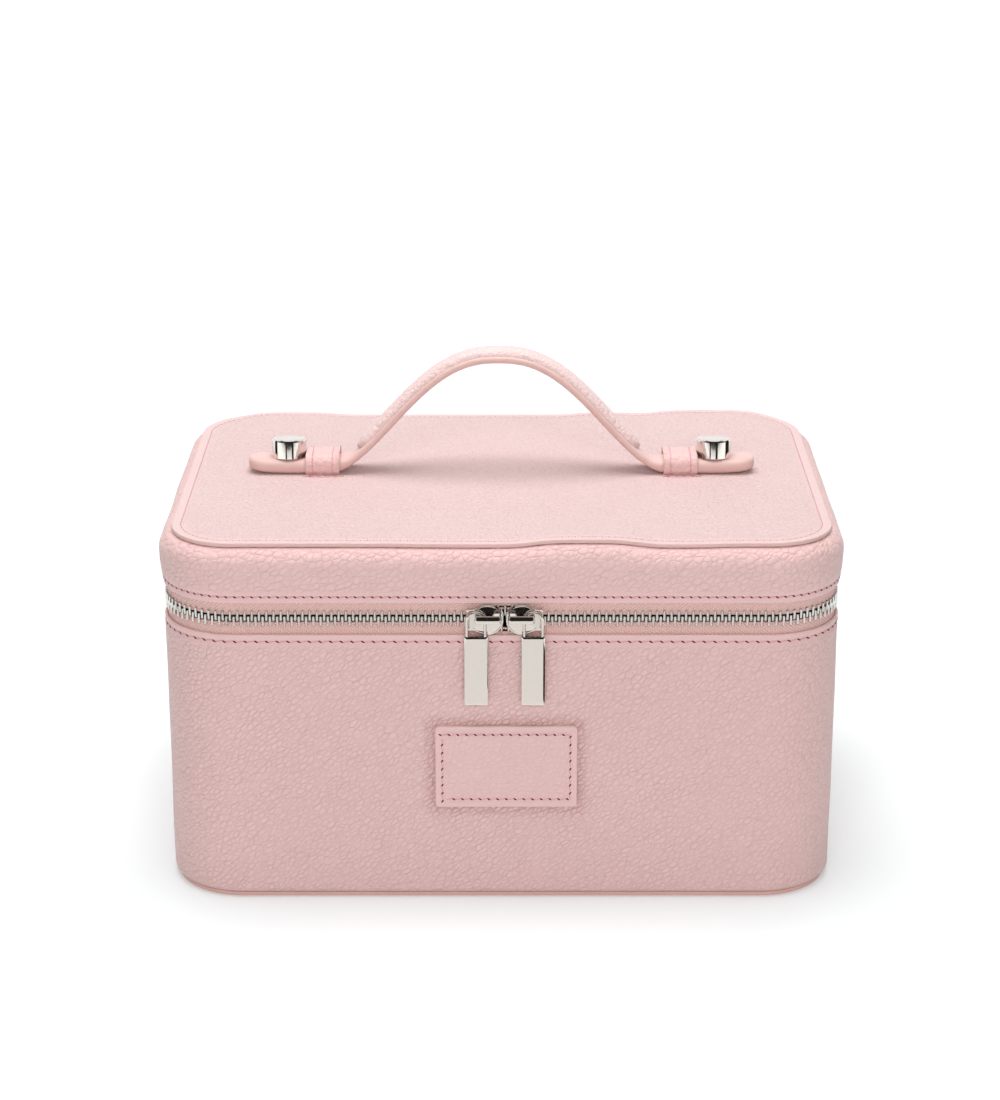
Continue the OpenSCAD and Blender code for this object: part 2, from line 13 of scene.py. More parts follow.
import bmesh
import bpy
import numpy as np
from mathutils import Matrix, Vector


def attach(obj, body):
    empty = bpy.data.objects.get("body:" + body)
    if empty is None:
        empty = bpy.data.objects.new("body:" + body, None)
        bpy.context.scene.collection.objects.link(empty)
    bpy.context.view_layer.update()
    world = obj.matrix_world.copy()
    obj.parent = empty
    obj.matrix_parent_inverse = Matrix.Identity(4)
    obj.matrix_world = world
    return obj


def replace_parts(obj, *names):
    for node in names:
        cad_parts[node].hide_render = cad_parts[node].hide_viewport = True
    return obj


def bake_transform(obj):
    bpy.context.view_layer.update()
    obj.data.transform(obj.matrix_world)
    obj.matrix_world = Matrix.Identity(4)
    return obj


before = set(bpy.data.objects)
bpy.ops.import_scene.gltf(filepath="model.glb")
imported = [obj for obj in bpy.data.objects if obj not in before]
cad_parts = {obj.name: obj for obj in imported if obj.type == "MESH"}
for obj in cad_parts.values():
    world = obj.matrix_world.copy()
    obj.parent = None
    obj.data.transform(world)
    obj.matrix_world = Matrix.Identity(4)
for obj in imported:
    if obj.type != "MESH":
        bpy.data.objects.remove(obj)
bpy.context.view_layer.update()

# %% [markdown]
# ## Sizes
#
# The part's source gives these sizes in millimetres. They are written again here because a
# new surface has to lie exactly where the solid that it stands for lies.

# %% Sizes of the case, the zip and the handle
MM = 0.001
CASE_W, CASE_D, BODY_H, ZIP_GAP, LID_H, CORNER_R = 257.6, 175.0, 108.9, 12.4, 22.3, 29.0
WRAP_T, TAPE_T, GAP, FOLD = 1.2, 0.6, 0.05, 0.6
BASE_T, BASE_INSET, FOOT_R, TURN_IN = 1.6, 1.8, 3.0, 8.0
LID_BULGE, SHOULDER_R, PANEL_T, PANEL_INSET = 1.2, 7.0, 1.6, 5.0
LID_RIM = BODY_H + ZIP_GAP
LID_TOP = LID_RIM + LID_H
ZIP_Z = BODY_H + ZIP_GAP / 2
PANEL_Z = LID_TOP - PANEL_T
SHOULDER_TOP = PANEL_Z - GAP
STRAIGHT_X, STRAIGHT_Y = CASE_W / 2 - CORNER_R, CASE_D / 2 - CORNER_R
PATH_R = CORNER_R - WRAP_T - (TAPE_T + 2 * GAP) / 2
PATH_Y = STRAIGHT_Y + PATH_R
LID_R = CORNER_R + LID_BULGE
PANEL_R = LID_R - PANEL_INSET
LABEL_W, LABEL_H, LABEL_X, LABEL_Z = 54.0, 33.4, 1.8, 55.6
SIDES = (("left", -1), ("right", 1))  # a side's name and its direction along X
print("lid top at", LID_TOP, "mm, zip line at", ZIP_Z, "mm")

# %% [markdown]
# ## Camera
#
# The camera stands where the photograph was taken from: about a metre in front of the case,
# looking down by 19.5 degrees through a long lens, which keeps the upright edges nearly
# parallel. The whole object then falls on the same pixels as in the photograph.

# %% Camera at the photograph's angle
camera_data = bpy.data.cameras.new("photo_camera")
camera_data.sensor_width = 36
camera_data.lens = 89.7
camera_data.shift_x = -1.5 / 1100
camera_data.clip_start, camera_data.clip_end = 0.05, 50
camera = bpy.data.objects.new("photo_camera", camera_data)
camera.location = (0, -1.04155, 0.48064)
aim = Vector((0, 0, 0.1116)) - camera.location
camera.rotation_euler = aim.to_track_quat("-Z", "Y").to_euler()
bpy.context.scene.collection.objects.link(camera)
bpy.context.scene.camera = camera
bpy.context.scene.view_settings.view_transform = "Standard"
print("camera looks down by", round(math.degrees(math.asin(-aim.normalized().z)), 2), "degrees")

# %% [markdown]
# ## From a grid of points to a closed skin
#
# Nearly every piece here is a closed skin: loops of points, one after another, joined by
# quads. `solid` makes that skin from an array of points. Its two ends are closed by a fan,
# or joined to each other where the loops themselves run in a ring. The signed volume says
# whether the faces point outwards, and the skin is turned if they don't.

# %% Grids of points into closed skins
def smooth(t):
    """Smoothstep: 0 up to t = 0, 1 from t = 1 on, with a level start and end."""
    t = np.clip(t, 0, 1)
    return t * t * (3 - 2 * t)


def arc(cx, cz, r, a0, a1, n):
    """n + 1 points of a circle arc, from angle a0 to a1 in degrees."""
    a = np.radians(np.linspace(a0, a1, n + 1))
    return np.stack([cx + r * np.cos(a), cz + r * np.sin(a)], -1)


def solid(points, ends="fan", u=None, v=None, paint=0, grain=1.0):
    """Skin of a grid of points (rows, columns, 3), or of many equal grids (copies, rows, ...).

    The columns always run in a loop. The rows end in a fan, or join up when ends is "loop".
    u and v give the distance along a loop and from loop to loop, in millimetres, for the UV
    map. paint is the material number of each row of faces, grain the leather grain of each
    point. Volume = sum over triangles of a . (b x c) / 6, and a negative one flips the skin.
    """
    points = np.asarray(points, float)
    points = points[None] if points.ndim == 3 else points
    copies, rows, cols = points.shape[:3]
    bands = rows if ends == "loop" else rows - 1
    i, j = np.meshgrid(np.arange(bands), np.arange(cols), indexing="ij")
    u = np.arange(cols + 1.0) if u is None else np.asarray(u, float)
    v = np.arange(rows + 1.0) if v is None else np.append(np.asarray(v, float), v[-1])
    around = [(i, j), (i, j + 1), (i + 1, j + 1), (i + 1, j)]
    quads = np.stack([(a % rows) * cols + b % cols for a, b in around], -1).reshape(-1, 4)
    quad_uv = np.stack([np.stack([u[b], v[a]], -1) for a, b in around], 2).reshape(-1, 4, 2)
    paint = np.broadcast_to(np.asarray(paint), (bands,))
    verts = points.reshape(copies, rows * cols, 3)
    grains = np.broadcast_to(np.asarray(grain, float), (rows, cols)).reshape(-1)
    tris, tri_uv, tri_paint = np.zeros((0, 3), int), np.zeros((0, 3, 2)), np.zeros(0, int)
    if ends == "fan":
        k = np.arange(cols)
        last = (rows - 1) * cols
        hub = rows * cols
        tris = np.concatenate([
            np.stack([k * 0 + hub, (k + 1) % cols, k], -1),
            np.stack([k * 0 + hub + 1, last + k, last + (k + 1) % cols], -1),
        ])
        low = np.stack([np.stack([u[k + a], v[0] + 0 * k], -1) for a in (0, 1, 0)], 1)
        high = np.stack([np.stack([u[k + a], v[rows - 1] + 0 * k], -1) for a in (0, 0, 1)], 1)
        tri_uv = np.concatenate([low, high])
        tri_paint = np.repeat([paint[0], paint[-1]], cols)
        hubs = np.stack([points[:, 0].mean(1), points[:, -1].mean(1)], 1)
        verts = np.concatenate([verts, hubs], 1)
        grains = np.append(grains, [grains[0], grains[last]])
    first = verts[0] - verts[0].mean(0)
    split = np.concatenate([quads[:, [0, 1, 2]], quads[:, [0, 2, 3]], tris])
    a, b, c = (first[split[:, n]] for n in range(3))
    if np.einsum("ij,ij->", a, np.cross(b, c)) < 0:
        quads, quad_uv = quads[:, ::-1], quad_uv[:, ::-1]
        tris, tri_uv = tris[:, ::-1], tri_uv[:, ::-1]
    shift = (np.arange(copies) * verts.shape[1])[:, None, None]
    return {
        "verts": verts.reshape(-1, 3),
        "faces": [(quads + shift).reshape(-1, 4), (tris + shift).reshape(-1, 3)],
        "uv": [np.tile(quad_uv, (copies, 1, 1)), np.tile(tri_uv, (copies, 1, 1))],
        "paint": [np.tile(paint[i].ravel(), copies), np.tile(tri_paint, copies)],
        "grain": np.tile(grains, copies),
    }


# %% [markdown]
# ## From skins to an object
#
# `piece` stacks one or more skins into one mesh. The arrays go in whole with foreach_set,
# which is far quicker than one vertex at a time. Each mesh gets a UV map in metres and a
# `grain` attribute that the leather reads, and the object rides on its body.

# %% Skins into an object
def piece(name, skins, materials, body=None, sharp=40.0):
    """One object from several skins: their arrays are stacked and written by foreach_set.
    Edges that turn by more than sharp degrees stay crisp, the rest is shaded smooth."""
    skins = skins if isinstance(skins, list) else [skins]
    shift = np.cumsum([0] + [len(s["verts"]) for s in skins])
    faces, uvs, paints = [], [], []
    for s, off in zip(skins, shift):
        for f, uv, p in zip(s["faces"], s["uv"], s["paint"]):
            if len(f):
                faces.append(f + off)
                uvs.append(uv)
                paints.append(p)
    corners = np.concatenate([f.ravel() for f in faces])
    sizes = np.concatenate([np.full(len(f), f.shape[1]) for f in faces])
    mesh = bpy.data.meshes.new(name)
    mesh.vertices.add(int(shift[-1]))
    mesh.vertices.foreach_set("co", (np.concatenate([s["verts"] for s in skins]) * MM).ravel())
    mesh.loops.add(len(corners))
    mesh.loops.foreach_set("vertex_index", corners.astype(np.int32))
    mesh.polygons.add(len(sizes))
    mesh.polygons.foreach_set("loop_start", np.append(0, np.cumsum(sizes)[:-1]).astype(np.int32))
    mesh.polygons.foreach_set("material_index", np.concatenate(paints).astype(np.int32))
    mesh.update(calc_edges=True)
    layer = mesh.uv_layers.new(name="UVMap")
    layer.data.foreach_set("uv", (np.concatenate([x.reshape(-1, 2) for x in uvs]) * MM).ravel())
    grain = mesh.attributes.new("grain", "FLOAT", "POINT")
    grain.data.foreach_set("value", np.concatenate([s["grain"] for s in skins]).astype(np.float32))
    work = bmesh.new()
    work.from_mesh(mesh)
    bmesh.ops.remove_doubles(work, verts=work.verts, dist=1e-7)
    work.to_mesh(mesh)
    work.free()
    mesh.shade_smooth()
    mesh.set_sharp_from_angle(angle=math.radians(sharp))
    for m in materials if isinstance(materials, list) else [materials]:
        mesh.materials.append(m)
    made = bpy.data.objects.new(name, mesh)
    bpy.context.scene.collection.objects.link(made)
    if body:
        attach(made, body)
    print(f"{name}: {len(mesh.polygons)} faces")
    return made


# %% [markdown]
# ## Walking round the case
#
# The case is a rectangle with round corners. `walk` turns a distance along its outline into
# a place and the direction that faces outwards. With it, a wall, a zip or a row of stitches
# is drawn as if the case were one straight line.

# %% A walk round the plan
def outline_length(r, hx=STRAIGHT_X, hy=STRAIGHT_Y):
    """Length of the outline at r: four straight sides and one full circle."""
    return 4 * (hx + hy) + 2 * math.pi * r


def walk(s, r, hx=STRAIGHT_X, hy=STRAIGHT_Y):
    """Place after walking s at distance r from the corners' centres, from the middle of the
    front to the right and on. Centre and outward angle change in straight lines between the
    ends of the sides, so both are read by linear interpolation."""
    c = math.pi / 2 * r
    stops = np.cumsum([0, hx, c, 2 * hy, c, 2 * hx, c, 2 * hy, c, hx])
    s = np.mod(s, stops[-1])
    turn = np.interp(s, stops, np.radians([-90, -90, 0, 0, 90, 90, 180, 180, 270, 270]))
    cx = np.interp(s, stops, np.array([0, 1, 1, 1, 1, -1, -1, -1, -1, 0]) * hx)
    cy = np.interp(s, stops, np.array([-1, -1, -1, 1, 1, 1, 1, -1, -1, -1]) * hy)
    return np.stack([cx, cy], -1), np.stack([np.cos(turn), np.sin(turn)], -1)


def with_third(flat, third):
    """Adds a third coordinate to an array of x and y, spread over all its points."""
    return np.concatenate([flat, np.broadcast_to(third, flat.shape[:-1] + (1,))], -1)


def rings(rows, n, r=CORNER_R, hx=STRAIGHT_X, hy=STRAIGHT_Y):
    """Loops round the plan. Each row is [distance out, height, share], and share below 1
    draws the loop in towards the middle. Returns the points and the walked distances."""
    rows = np.asarray(rows, float)
    s = np.linspace(0, outline_length(r, hx, hy), n + 1)
    centre, out = walk(s[:-1], r, hx, hy)
    flat = (centre + rows[:, None, :1] * out) * rows[:, None, 2:3]
    return with_third(flat, rows[:, None, 1:2]), s


def distance(rows):
    """Distance along a profile from its first row."""
    rows = np.asarray(rows, float)[:, :2]
    return np.append(0, np.cumsum(np.linalg.norm(np.diff(rows, axis=0), axis=1)))


def distance_round(section):
    """Distance round a closed section, back to its first point."""
    return distance(np.vstack([section, section[:1]]))


AROUND = 520  # points in one loop round the case
print("outline of the case:", round(outline_length(CORNER_R), 1), "mm")

# %% [markdown]
# ## Helpers for material nodes
#
# A material is a tree of nodes. These helpers make a node, set its inputs and link it in one
# call, so that a formula can be read in one line.

# %% Node helpers
VECTOR, FLOAT = "NodeSocketVector", "NodeSocketFloat"


def link(tree, value, socket):
    """Puts a number, a colour or another node's output into a socket."""
    if isinstance(value, bpy.types.NodeSocket):
        tree.links.new(value, socket)
    else:
        socket.default_value = value


def node(tree, kind, label="", **values):
    """A new node: its inputs are set by their names, other settings as attributes."""
    made = tree.nodes.new(kind)
    made.label = label
    for key, value in values.items():
        socket = made.inputs.get(key.replace("_", " "))
        if socket is None:
            setattr(made, key, value)
        else:
            link(tree, value, socket)
    return made


def math_node(tree, operation, *values, clamp=False):
    """A Math node whose inputs are numbers or sockets."""
    made = tree.nodes.new("ShaderNodeMath")
    made.operation, made.use_clamp = operation, clamp
    for socket, value in zip(made.inputs, values):
        link(tree, value, socket)
    return made.outputs[0]


def times(tree, a, b):
    return math_node(tree, "MULTIPLY", a, b)


def plus(tree, a, b, clamp=False):
    return math_node(tree, "ADD", a, b, clamp=clamp)


def minus(tree, a, b):
    return math_node(tree, "SUBTRACT", a, b)


def vector_node(tree, operation, a, b):
    """ADD or SUBTRACT of two vectors, or SCALE of a vector by a number."""
    made = tree.nodes.new("ShaderNodeVectorMath")
    made.operation = operation
    link(tree, a, made.inputs[0])
    link(tree, b, made.inputs["Scale" if operation == "SCALE" else 1])
    return made.outputs[0]


def map_range(tree, value, low, high, to_low=0.0, to_high=1.0, label="", curve="SMOOTHSTEP"):
    """Value between low and high becomes to_low to to_high along a smooth curve."""
    return node(tree, "ShaderNodeMapRange", label, interpolation_type=curve, Value=value,
                From_Min=low, From_Max=high, To_Min=to_low, To_Max=to_high).outputs[0]


def mix_colour(tree, factor, a, b):
    """Colour a where the mask is 0, b where it is 1."""
    made = tree.nodes.new("ShaderNodeMix")
    made.data_type = "RGBA"
    for place, value in ((0, factor), (6, a), (7, b)):
        link(tree, value, made.inputs[place])
    return made.outputs[2]


def group(name, inputs, outputs):
    """An empty node group with named sockets. Returns the tree, its input and output nodes."""
    tree = bpy.data.node_groups.new(name, "ShaderNodeTree")
    for label, kind in inputs:
        tree.interface.new_socket(label, in_out="INPUT", socket_type=kind)
    for label in outputs:
        tree.interface.new_socket(label, in_out="OUTPUT", socket_type=FLOAT)
    return tree, tree.nodes.new("NodeGroupInput"), tree.nodes.new("NodeGroupOutput")


def place_group(tree, source, **values):
    """The group placed in a material's tree, with this material's own values."""
    made = tree.nodes.new("ShaderNodeGroup")
    made.node_tree = source
    for key, value in values.items():
        link(tree, value, made.inputs[key])
    return made


print("a group's sockets are of these kinds:", VECTOR, FLOAT)

# %% [markdown]
# ## Pebbled leather
#
# The leather is embossed with rounded pebbles about 2 mm across, set off by thin creases,
# which the leathers further on darken with painted shade. A Voronoi texture gives such
# cells: the distance to the nearest cell edge makes the creases, and the smoothed distance
# to the cell's middle rounds each pebble. Noise bends the cells a little first, so that none
# is a straight-sided polygon. The group puts out a height, a crease mask and a random tone
# for each pebble, and each leather uses them with its own size.

# %% Pebble group
VALLEY_DEPTH, FINE_HEIGHT = 0.32, 0.04  # of the creases and small creases, pebble top = 1
PEBBLE, inp, out = group("leather_pebble", [("Vector", VECTOR), ("Cells", FLOAT), ("Warp", FLOAT)],
                         ["Height", "Crease", "Tone"])
t = PEBBLE
spread = vector_node(t, "SCALE", inp.outputs["Vector"], inp.outputs["Cells"])
bend = node(t, "ShaderNodeTexNoise", "bends the cells", Vector=spread, Scale=0.6, Detail=2.0)
centred = vector_node(t, "SUBTRACT", bend.outputs["Color"], (0.5, 0.5, 0.5))
bent = vector_node(t, "ADD", spread, vector_node(t, "SCALE", centred, inp.outputs["Warp"]))
edge = node(t, "ShaderNodeTexVoronoi", "creases", feature="DISTANCE_TO_EDGE",
            Vector=bent, Scale=1.0)
middle = node(t, "ShaderNodeTexVoronoi", "pebble tops", feature="SMOOTH_F1",
              Vector=bent, Scale=1.0, Smoothness=0.25)
small = node(t, "ShaderNodeTexVoronoi", "small creases", feature="DISTANCE_TO_EDGE",
             Vector=bent, Scale=2.1)
flank = map_range(t, edge.outputs["Distance"], -0.05, 0.2, curve="SMOOTHERSTEP")
fine = map_range(t, small.outputs["Distance"], 0.0, 0.3)
uneven = node(t, "ShaderNodeTexNoise", "some creases are faint", Vector=spread, Scale=0.35,
              Detail=1.0)
strong = map_range(t, uneven.outputs["Fac"], 0.3, 0.6, 0.8)
valley = times(t, minus(t, 1.0, flank), strong)
tone = node(t, "ShaderNodeSeparateColor", Color=middle.outputs["Color"]).outputs[1]
falloff = math_node(t, "POWER", middle.outputs["Distance"], 2.0)
dome = math_node(t, "SUBTRACT", 1.0, falloff, clamp=True)
height = plus(t, minus(t, dome, times(t, valley, VALLEY_DEPTH)), times(t, fine, FINE_HEIGHT))
for key, value in (("Height", height), ("Crease", valley), ("Tone", tone)):
    link(t, value, out.inputs[key])
print("group leather_pebble has", len(PEBBLE.nodes), "nodes")

# %% [markdown]
# ## The leathers and the painted edge
#
# One recipe serves every leather here. The base colour is a little deeper in the creases,
# as painted shade, and drifts slowly over the hide. The `grain` attribute of each piece fades
# the pebbles and that painted shade out in the smooth bands beside the rims, where the real
# leather is pressed flat by the sewing.
# The cut edges are sealed with a rubbery paint, which gets a plain smooth finish further on.

# %% Leather recipe
# PINK_DEEP is the deeper pink of the dye's drift and the pebbles' tone, and also of the painted
# shade in the creases and beside the patch.
PINK, PINK_DEEP = (0.812, 0.552, 0.533, 1), (0.62, 0.31, 0.29, 1)
# TOP_SHEEN_PINK is greyer and less red than PINK: a painted sheen of the light that grazes the top
# panel.
TOP_SHEEN_PINK, GRIP_PINK = (0.745, 0.565, 0.555, 1), (0.86, 0.67, 0.65, 1)
PATCH_REACH = 0.006  # metres beside the patch in which the leather is bunched
PEBBLE_WARP, PORE_HEIGHT, LEATHER_ROUGH, CREASE_ROUGH = 0.55, 0.05, 0.5, 0.12
# The last share is painted shade with some dirt, where the patch's seam bunches the leather.
DRIFT_SHADE, TONE_SHADE, PATCH_DIRT_AND_SHADE = 0.12, 0.05, 0.3  # shares of the deep colour


def new_material(name, **values):
    """A material with its Principled shader, its node tree and Object coordinates."""
    material = bpy.data.materials.new(name)
    material.use_nodes = True
    tree = material.node_tree
    shader = tree.nodes["Principled BSDF"]
    for key, value in values.items():
        shader.inputs[key.replace("_", " ")].default_value = value
    where = tree.nodes.new("ShaderNodeTexCoord").outputs["Object"]
    return material, tree, shader, where


def bump(tree, shader, height, depth):
    """Height in 0..1 becomes relief of that depth in metres."""
    made = node(tree, "ShaderNodeBump", Strength=1.0, Distance=depth, Height=height)
    link(tree, made.outputs[0], shader.inputs["Normal"])


def near_patch(tree, where):
    """1 at the rim of the front patch, 0 past PATCH_REACH: its seam bunches the leather there.
    The distance to the rectangle is sqrt(dx^2 + dz^2), each part counted only outside it."""
    split = node(tree, "ShaderNodeSeparateXYZ", Vector=where)
    squares = []
    for axis, centre, half in ((0, LABEL_X, LABEL_W / 2), (2, LABEL_Z, LABEL_H / 2)):
        off = math_node(tree, "ABSOLUTE", minus(tree, split.outputs[axis], centre * MM))
        off = math_node(tree, "MAXIMUM", minus(tree, off, half * MM), 0.0)
        squares.append(times(tree, off, off))
    away = math_node(tree, "SQRT", plus(tree, *squares))
    fade = map_range(tree, away, PATCH_REACH, 0.0, label="fades away from the patch")
    return times(tree, fade, math_node(tree, "LESS_THAN", split.outputs[1], 0.0))


def leather(name, colour, cells, depth, crease_shade, stretched=(1.3, 1.1, 0.9), aslant=-0.5,
            bunched_dirt_shade=0.0, sheen=0.3):
    """A hide with cells pebbles to the metre, depth metres high, of a given shape and slant.
    The crease share is how much of the deep colour lies between them, as painted shade in
    the creases. The bunching share is how much higher they are beside the patch, where it also
    deepens the colour with painted shade and some dirt. Colour = mix of the two by the sum of
    all these shares."""
    material, tree, shader, where = new_material(name, Sheen_Weight=sheen, Sheen_Roughness=0.35)
    stretch = node(tree, "ShaderNodeMapping", "pebbles lie aslant", vector_type="TEXTURE",
                   Vector=where, Rotation=(0.12, aslant, 0.1), Scale=stretched)
    pebble = place_group(tree, PEBBLE, Vector=stretch.outputs[0], Cells=cells, Warp=PEBBLE_WARP)
    grain = node(tree, "ShaderNodeAttribute", attribute_name="grain").outputs["Fac"]
    drift = node(tree, "ShaderNodeTexNoise", "slow drift of the dye", Vector=where,
                 Scale=26.0, Detail=3.0)
    if bunched_dirt_shade:
        pull = times(tree, near_patch(tree, where), bunched_dirt_shade)
        grain = times(tree, grain, plus(tree, pull, 1.0))
    # Painted shade: the colour deepens in the creases between the pebbles.
    shade = times(tree, times(tree, pebble.outputs["Crease"], grain), crease_shade)
    shade = plus(tree, shade, times(tree, drift.outputs["Fac"], DRIFT_SHADE))
    shade = plus(tree, shade, times(tree, pebble.outputs["Tone"], TONE_SHADE), clamp=True)
    # Beside the patch the colour also deepens: painted shade with some dirt.
    if bunched_dirt_shade:
        shade = plus(tree, shade, times(tree, pull, PATCH_DIRT_AND_SHADE), clamp=True)
    link(tree, mix_colour(tree, shade, colour, PINK_DEEP), shader.inputs["Base Color"])
    rough = math_node(tree, "MULTIPLY_ADD", pebble.outputs["Crease"], CREASE_ROUGH, LEATHER_ROUGH)
    link(tree, rough, shader.inputs["Roughness"])
    pores = node(tree, "ShaderNodeTexNoise", "pores", Vector=where, Scale=2300.0, Detail=2.0)
    high = times(tree, pebble.outputs["Height"], grain)
    high = plus(tree, high, times(tree, pores.outputs["Fac"], PORE_HEIGHT))
    bump(tree, shader, high, depth)
    return material


print("leather recipe: shares of the deep colour", DRIFT_SHADE, TONE_SHADE, PATCH_DIRT_AND_SHADE)

# %% [markdown]
# ### Edge paint, and the hides of this case
#
# Plain finishes need only one noise, which changes colour and relief together. Here it is
# the ripple of the edge paint, and further on the grain of board, foam and thread. The hides
# differ in the size, the depth and the slant of their pebbles.

# %% Hides and edge paint
def speckled(name, low, high, scale, roughness, depth, detail=4.0, **values):
    """One noise drives the colour, from low to high, and the relief in metres."""
    material, tree, shader, where = new_material(name, Roughness=roughness, **values)
    noise = node(tree, "ShaderNodeTexNoise", "speckle", Vector=where, Scale=scale, Detail=detail)
    colour = mix_colour(tree, noise.outputs["Fac"], low, high)
    link(tree, colour, shader.inputs["Base Color"])
    bump(tree, shader, noise.outputs["Fac"], depth)
    return material


def painted(name, colour, shade):
    """Edge paint: a smooth coat with a faint ripple where the brush ran."""
    return speckled(name, colour, shade, 240.0, 0.42, 0.00006, detail=2.0)


body_hide = leather("body_hide", PINK, cells=560.0, depth=0.0005, crease_shade=0.18, sheen=0.18,
                    stretched=(1.55, 1.1, 0.9), aslant=-0.65, bunched_dirt_shade=0.8)
lid_hide = leather("lid_hide", PINK, cells=470.0, depth=0.00046, crease_shade=0.12, sheen=0.2,
                   stretched=(1.4, 1.1, 0.9))
top_hide = leather("top_hide", TOP_SHEEN_PINK, cells=620.0, depth=0.0004, crease_shade=0.1,
                   stretched=(1.15, 1.0, 1.0), aslant=0.0)
trim_leather = leather("trim_leather", PINK, cells=560.0, depth=0.0003, crease_shade=0.1)
grip_leather = leather("grip_leather", GRIP_PINK, cells=620.0, depth=0.0003, crease_shade=0.12)
edge_paint = painted("edge_paint", (0.76, 0.53, 0.49, 1), (0.70, 0.46, 0.42, 1))
base_edge = painted("base_edge", (0.80, 0.50, 0.45, 1), (0.72, 0.42, 0.38, 1))
print("leathers:", body_hide.name, lid_hide.name, top_hide.name, trim_leather.name)

# %% [markdown]
# ## Tape, lining, board, thread and metal
#
# The zip tape is woven in a fine slanting twill, which follows the tape, so it reads the
# piece's own UV map. The lining is a plain weave, the board is grey pulp with fibres. The
# fittings are polished nickel: a mirror with a warm tint and the faintest haze.

# %% Cloth, board, thread and metal materials
TWILL, inp, out = group("twill_weave", [("Vector", VECTOR), ("Pitch", FLOAT), ("Slant", FLOAT)],
                        ["Height"])
t = TWILL
split = node(t, "ShaderNodeSeparateXYZ", Vector=inp.outputs["Vector"])
along, across = split.outputs[0], split.outputs[1]
turns = math_node(t, "DIVIDE", 2 * math.pi, inp.outputs["Pitch"])
lean = plus(t, along, times(t, across, inp.outputs["Slant"]))
ridge = math_node(t, "SINE", times(t, lean, turns))
cross = math_node(t, "SINE", times(t, times(t, across, 2.0), turns))
weave = plus(t, times(t, ridge, 0.3), times(t, cross, 0.2))
link(t, plus(t, weave, 0.5), out.inputs["Height"])


def woven(name, light, deep, pitch, slant, depth, roughness, sheen):
    """Cloth: 0.8 of the weave, in the piece's own UV map, and 0.3 of loose fibres."""
    material, tree, shader, where = new_material(name, Roughness=roughness, Sheen_Weight=sheen)
    flat = node(tree, "ShaderNodeUVMap", uv_map="UVMap").outputs[0]
    threads = place_group(tree, TWILL, Vector=flat, Pitch=pitch, Slant=slant)
    fluff = node(tree, "ShaderNodeTexNoise", "loose fibres", Vector=where, Scale=1500.0, Detail=3.0)
    high = plus(tree, times(tree, threads.outputs[0], 0.8), times(tree, fluff.outputs["Fac"], 0.3))
    link(tree, mix_colour(tree, high, deep, light), shader.inputs["Base Color"])
    bump(tree, shader, high, depth)
    return material


def polished(name, tint, roughness):
    """Polished plating: haze and a faint orange peel, both from one noise."""
    material, tree, shader, where = new_material(name, Metallic=1.0)
    haze = node(tree, "ShaderNodeTexNoise", "haze", Vector=where, Scale=420.0, Detail=4.0)
    haze = haze.outputs["Fac"]
    link(tree, math_node(tree, "MULTIPLY_ADD", haze, 0.05, roughness), shader.inputs["Roughness"])
    dim = tuple(c * 0.93 for c in tint[:3]) + (1,)
    link(tree, mix_colour(tree, haze, dim, tint), shader.inputs["Base Color"])
    bump(tree, shader, haze, 0.000004)
    return material


tape_cloth = woven("tape_cloth", (0.94, 0.625, 0.575, 1), (0.72, 0.415, 0.38, 1),
                   0.0013, 0.8, 0.0004, 0.8, 0.2)
lining_cloth = woven("lining_cloth", (0.72, 0.55, 0.52, 1), (0.60, 0.42, 0.40, 1),
                     0.0008, 0.0, 0.00008, 0.75, 0.25)
board = speckled("grey_board", (0.30, 0.27, 0.24, 1), (0.45, 0.41, 0.37, 1), 900.0, 0.9, 0.0001)
foam = speckled("foam", (0.70, 0.64, 0.58, 1), (0.86, 0.81, 0.76, 1), 1400.0, 0.9, 0.0001)
thread = speckled("thread", (0.66, 0.30, 0.33, 1), (0.84, 0.48, 0.50, 1), 2200.0, 0.55, 0.00008)
# The needle holes' darkness is painted shade: dark magenta with no specular reflection.
needle_hole_shade = speckled("needle_hole_shade", (0.12, 0.012, 0.025, 1), (0.22, 0.025, 0.045, 1), 1800.0,
                       1.0, 0.00005, Specular_IOR_Level=0.0)
nickel = polished("polished_nickel", (0.80, 0.755, 0.70, 1), 0.05)
tooth_metal = polished("zip_metal", (0.74, 0.715, 0.68, 1), 0.22)
print("materials:", len(bpy.data.materials))

# %% [markdown]
# ## The top panel's gentle waves
#
# The panel is a sheet of leather laid over thin foam, and it doesn't lie quite flat: its
# front edge rises once right of the middle, and the back edge has two low waves. A few bell
# curves, which die out away from the edge, give that. The shoulder of the lid below rises
# with them, so no gap opens under the panel.

# %% Waves of the lid's top
WAVES = [  # place x, y of each wave's crest, its reach along x and y, and its height
    (31.0, -84.0, 21.0, 24.0, 1.8),
    (98.0, -84.0, 20.0, 26.0, 0.4),
    (-70.0, -84.0, 40.0, 26.0, 0.3),
    (-88.0, 84.0, 18.0, 26.0, 1.0),
    (44.0, 84.0, 14.0, 22.0, 0.9),
    (88.0, 84.0, 26.0, 26.0, 2.0),
]


def wave(x, y):
    """Sum of flat-topped bell curves: height * exp(-(dx / reach_x)^4 - (dy / reach_y)^2)."""
    return sum(h * np.exp(-(((x - cx) / rx) ** 4) - ((y - cy) / ry) ** 2)
               for cx, cy, rx, ry, h in WAVES)


def swell(x, y, z, amount):
    """Slow unevenness of leather over board: two crossed sine waves of 70 and 45 mm."""
    long_wave = np.sin(x / 11.3 + z / 19.0) * np.sin(y / 12.7 + 0.6)
    return amount * (long_wave + 0.5 * np.sin((x + y + z) / 7.1))


print("highest wave:", round(float(wave(31.0, -84.0)), 2), "mm")

